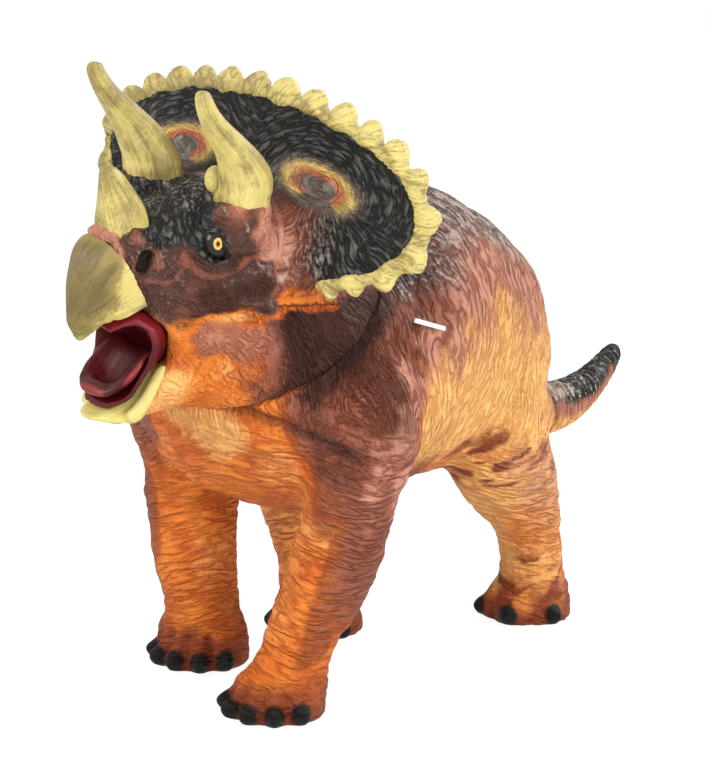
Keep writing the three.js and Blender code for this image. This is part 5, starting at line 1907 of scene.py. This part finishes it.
class FIGURE_OT_insides(bpy.types.Operator):
    """Finish the plugs and the rings, stuff the skins and hang the tag's bar"""

    bl_idname = "figure.insides"
    bl_label = "Plugs, stuffing and tag"

    def execute(self, context):
        for name in ("neck_plug", "neck_snap_ring", "tail_plug", "tail_snap_ring"):
            NODES[name].data.materials.clear()
            NODES[name].data.materials.append(finishes()["plastic"])
        for name, body, grain in (("torso_filling", "body", 1.6), ("head_filling", "head", 1.2)):
            skin = cast([node_solid(name)], grain)
            skin.relax(12)
            skin.push((speckle(skin.points, 9, 95) - 1.0) * 1.6)
            made = piece(name + "_wad", skin.solid, {}, body, "fibre", name)
        skin = cast([node_solid("tag_fastener")], voxel=0.16)
        skin.relax(6)
        piece("tag_bar", skin.solid, {}, "body", "nylon", "tag_fastener")
        return {"FINISHED"}


# Stage

# Each lamp: its place and its aim in metres, its size, and the number that sets its power
LAMPS = (
    ("key", (-0.55, -0.9, 0.75), (0, -0.05, 0.09), 0.6, "key_light"),
    ("fill", (0.4, -1.1, 0.35), (0, -0.05, 0.08), 0.9, "fill_light"),
    ("side", (0.95, -0.35, 0.45), (0, 0.0, 0.09), 0.5, "side_light"),
    ("rim", (0.3, 0.9, 0.7), (0, 0.05, 0.09), 0.5, "side_light"),
)
FLOOR_REACH = 3.0
FLOOR_GREY = (0.9, 0.9, 0.9)
FLOOR_GLOW = 1.12
FLOOR_GLOW_SHARE = 0.82
# The camera: what it aims at on the bench, how far off, its two angles in degrees, and the focal
# length in pixels of a picture of this height
CAMERA_AIM = (20, -20, 85)
CAMERA_AWAY = 800
CAMERA_TURN = 32
CAMERA_RISE = 13
FOCAL_PIXELS = 2880
PICTURE_PIXELS = 780
SENSOR = 36.0


def set_down(name, data, place, way):
    """Puts a lamp or the camera at a place in metres, facing along a way."""
    made = show(name, data)
    made.location = place
    made.rotation_mode = "QUATERNION"
    made.rotation_quaternion = way.to_track_quat("-Z", "Y")
    return made


def lay_floor():
    """A pale floor that keeps the figure's shadow and is nearly white to the camera."""
    p = Paint("pale_floor")
    matt = p.node("ShaderNodeBsdfDiffuse", values={"Color": FLOOR_GREY})
    bright = p.node("ShaderNodeEmission", values={"Color": (1, 1, 1), "Strength": FLOOR_GLOW})
    share = p.seen_rays() * FLOOR_GLOW_SHARE
    surface = p.node("ShaderNodeMixShader", values=[share, matt, bright])
    p.node("ShaderNodeOutputMaterial", values=[surface])
    corners = [(x * FLOOR_REACH, y * FLOOR_REACH, 0) for x, y in ((-1, -1), (1, -1), (1, 1), (-1, 1))]
    floor = show("floor", mesh_of("floor", corners, [[0, 1, 2, 3]]))
    floor.data.materials.append(p.material)


def pale_air(strength):
    """White to the camera, and a softer light on the figure."""
    world = bpy.data.worlds.new("pale_air")
    world.use_nodes = True
    g = Graph(world.node_tree)
    power = g.node("ShaderNodeMapRange", values={"Value": g.seen_rays(), "To Min": strength})
    air = g.node("ShaderNodeBackground", values={"Color": (1, 1, 1), "Strength": power})
    g.node("ShaderNodeOutputWorld", values=[air])
    return world


class FIGURE_OT_stage(bpy.types.Operator):
    """Lay the floor, hang the lamps and set up the camera"""

    bl_idname = "figure.stage"
    bl_label = "Stage"

    def execute(self, context):
        look = context.scene.stage_look
        lay_floor()
        context.scene.world = pale_air(look.air_light)
        for name, place, aim, size, power in LAMPS:
            light = bpy.data.lights.new(name, "AREA")
            light.shape = "DISK"
            light.size = size
            light.energy = getattr(look, power)
            set_down(name, light, place, Vector(aim) - Vector(place))
        context.scene.view_settings.view_transform = "Standard"
        camera = bpy.data.cameras.new("camera")
        camera.sensor_fit = "VERTICAL"
        camera.sensor_height = SENSOR
        camera.lens = FOCAL_PIXELS * SENSOR / PICTURE_PIXELS
        camera.clip_start = 0.01
        turn, rise = math.radians(CAMERA_TURN), math.radians(CAMERA_RISE)
        back = Vector((math.sin(turn) * math.cos(rise), -math.cos(turn) * math.cos(rise), math.sin(rise)))
        place = (Vector(CAMERA_AIM) + Vector(BENCH) + back * CAMERA_AWAY) * MM
        context.scene.camera = set_down("camera", camera, place, -back)
        return {"FINISHED"}


GROUPS = {
    "skin_paints": SkinPaints,
    "horn_paints": HornPaints,
    "mouth_paints": MouthPaints,
    "fold_sizes": FoldSizes,
    "horn_sizes": HornSizes,
    "stage_look": StageLook,
}
STEPS = (
    FIGURE_OT_stage,
    FIGURE_OT_body,
    FIGURE_OT_head,
    FIGURE_OT_tail,
    FIGURE_OT_horns,
    FIGURE_OT_edging,
    FIGURE_OT_beak,
    FIGURE_OT_mouth,
    FIGURE_OT_eyes,
    FIGURE_OT_insides,
)


class FIGURE_PT_panel(bpy.types.Panel):
    """The steps that make the figure"""

    bl_idname = "FIGURE_PT_panel"
    bl_label = "Horned dinosaur"
    bl_space_type = "VIEW_3D"
    bl_region_type = "UI"
    bl_category = "Figure"

    def draw(self, context):
        column = self.layout.column()
        for step in STEPS:
            column.operator(step.bl_idname)
        for name, group in GROUPS.items():
            box = column.box()
            for key in group.__annotations__:
                box.prop(getattr(context.scene, name), key)


def register():
    for group in GROUPS.values():
        bpy.utils.register_class(group)
    for name, group in GROUPS.items():
        setattr(bpy.types.Scene, name, bpy.props.PointerProperty(type=group))
    for step in (*STEPS, FIGURE_PT_panel):
        bpy.utils.register_class(step)


def unregister():
    for step in reversed((*STEPS, FIGURE_PT_panel)):
        bpy.utils.unregister_class(step)
    for name, group in GROUPS.items():
        delattr(bpy.types.Scene, name)
        bpy.utils.unregister_class(group)


def main():
    register()
    for step in STEPS:
        family, name = step.bl_idname.split(".")
        getattr(getattr(bpy.ops, family), name)()


if __name__ == "__main__":
    main()
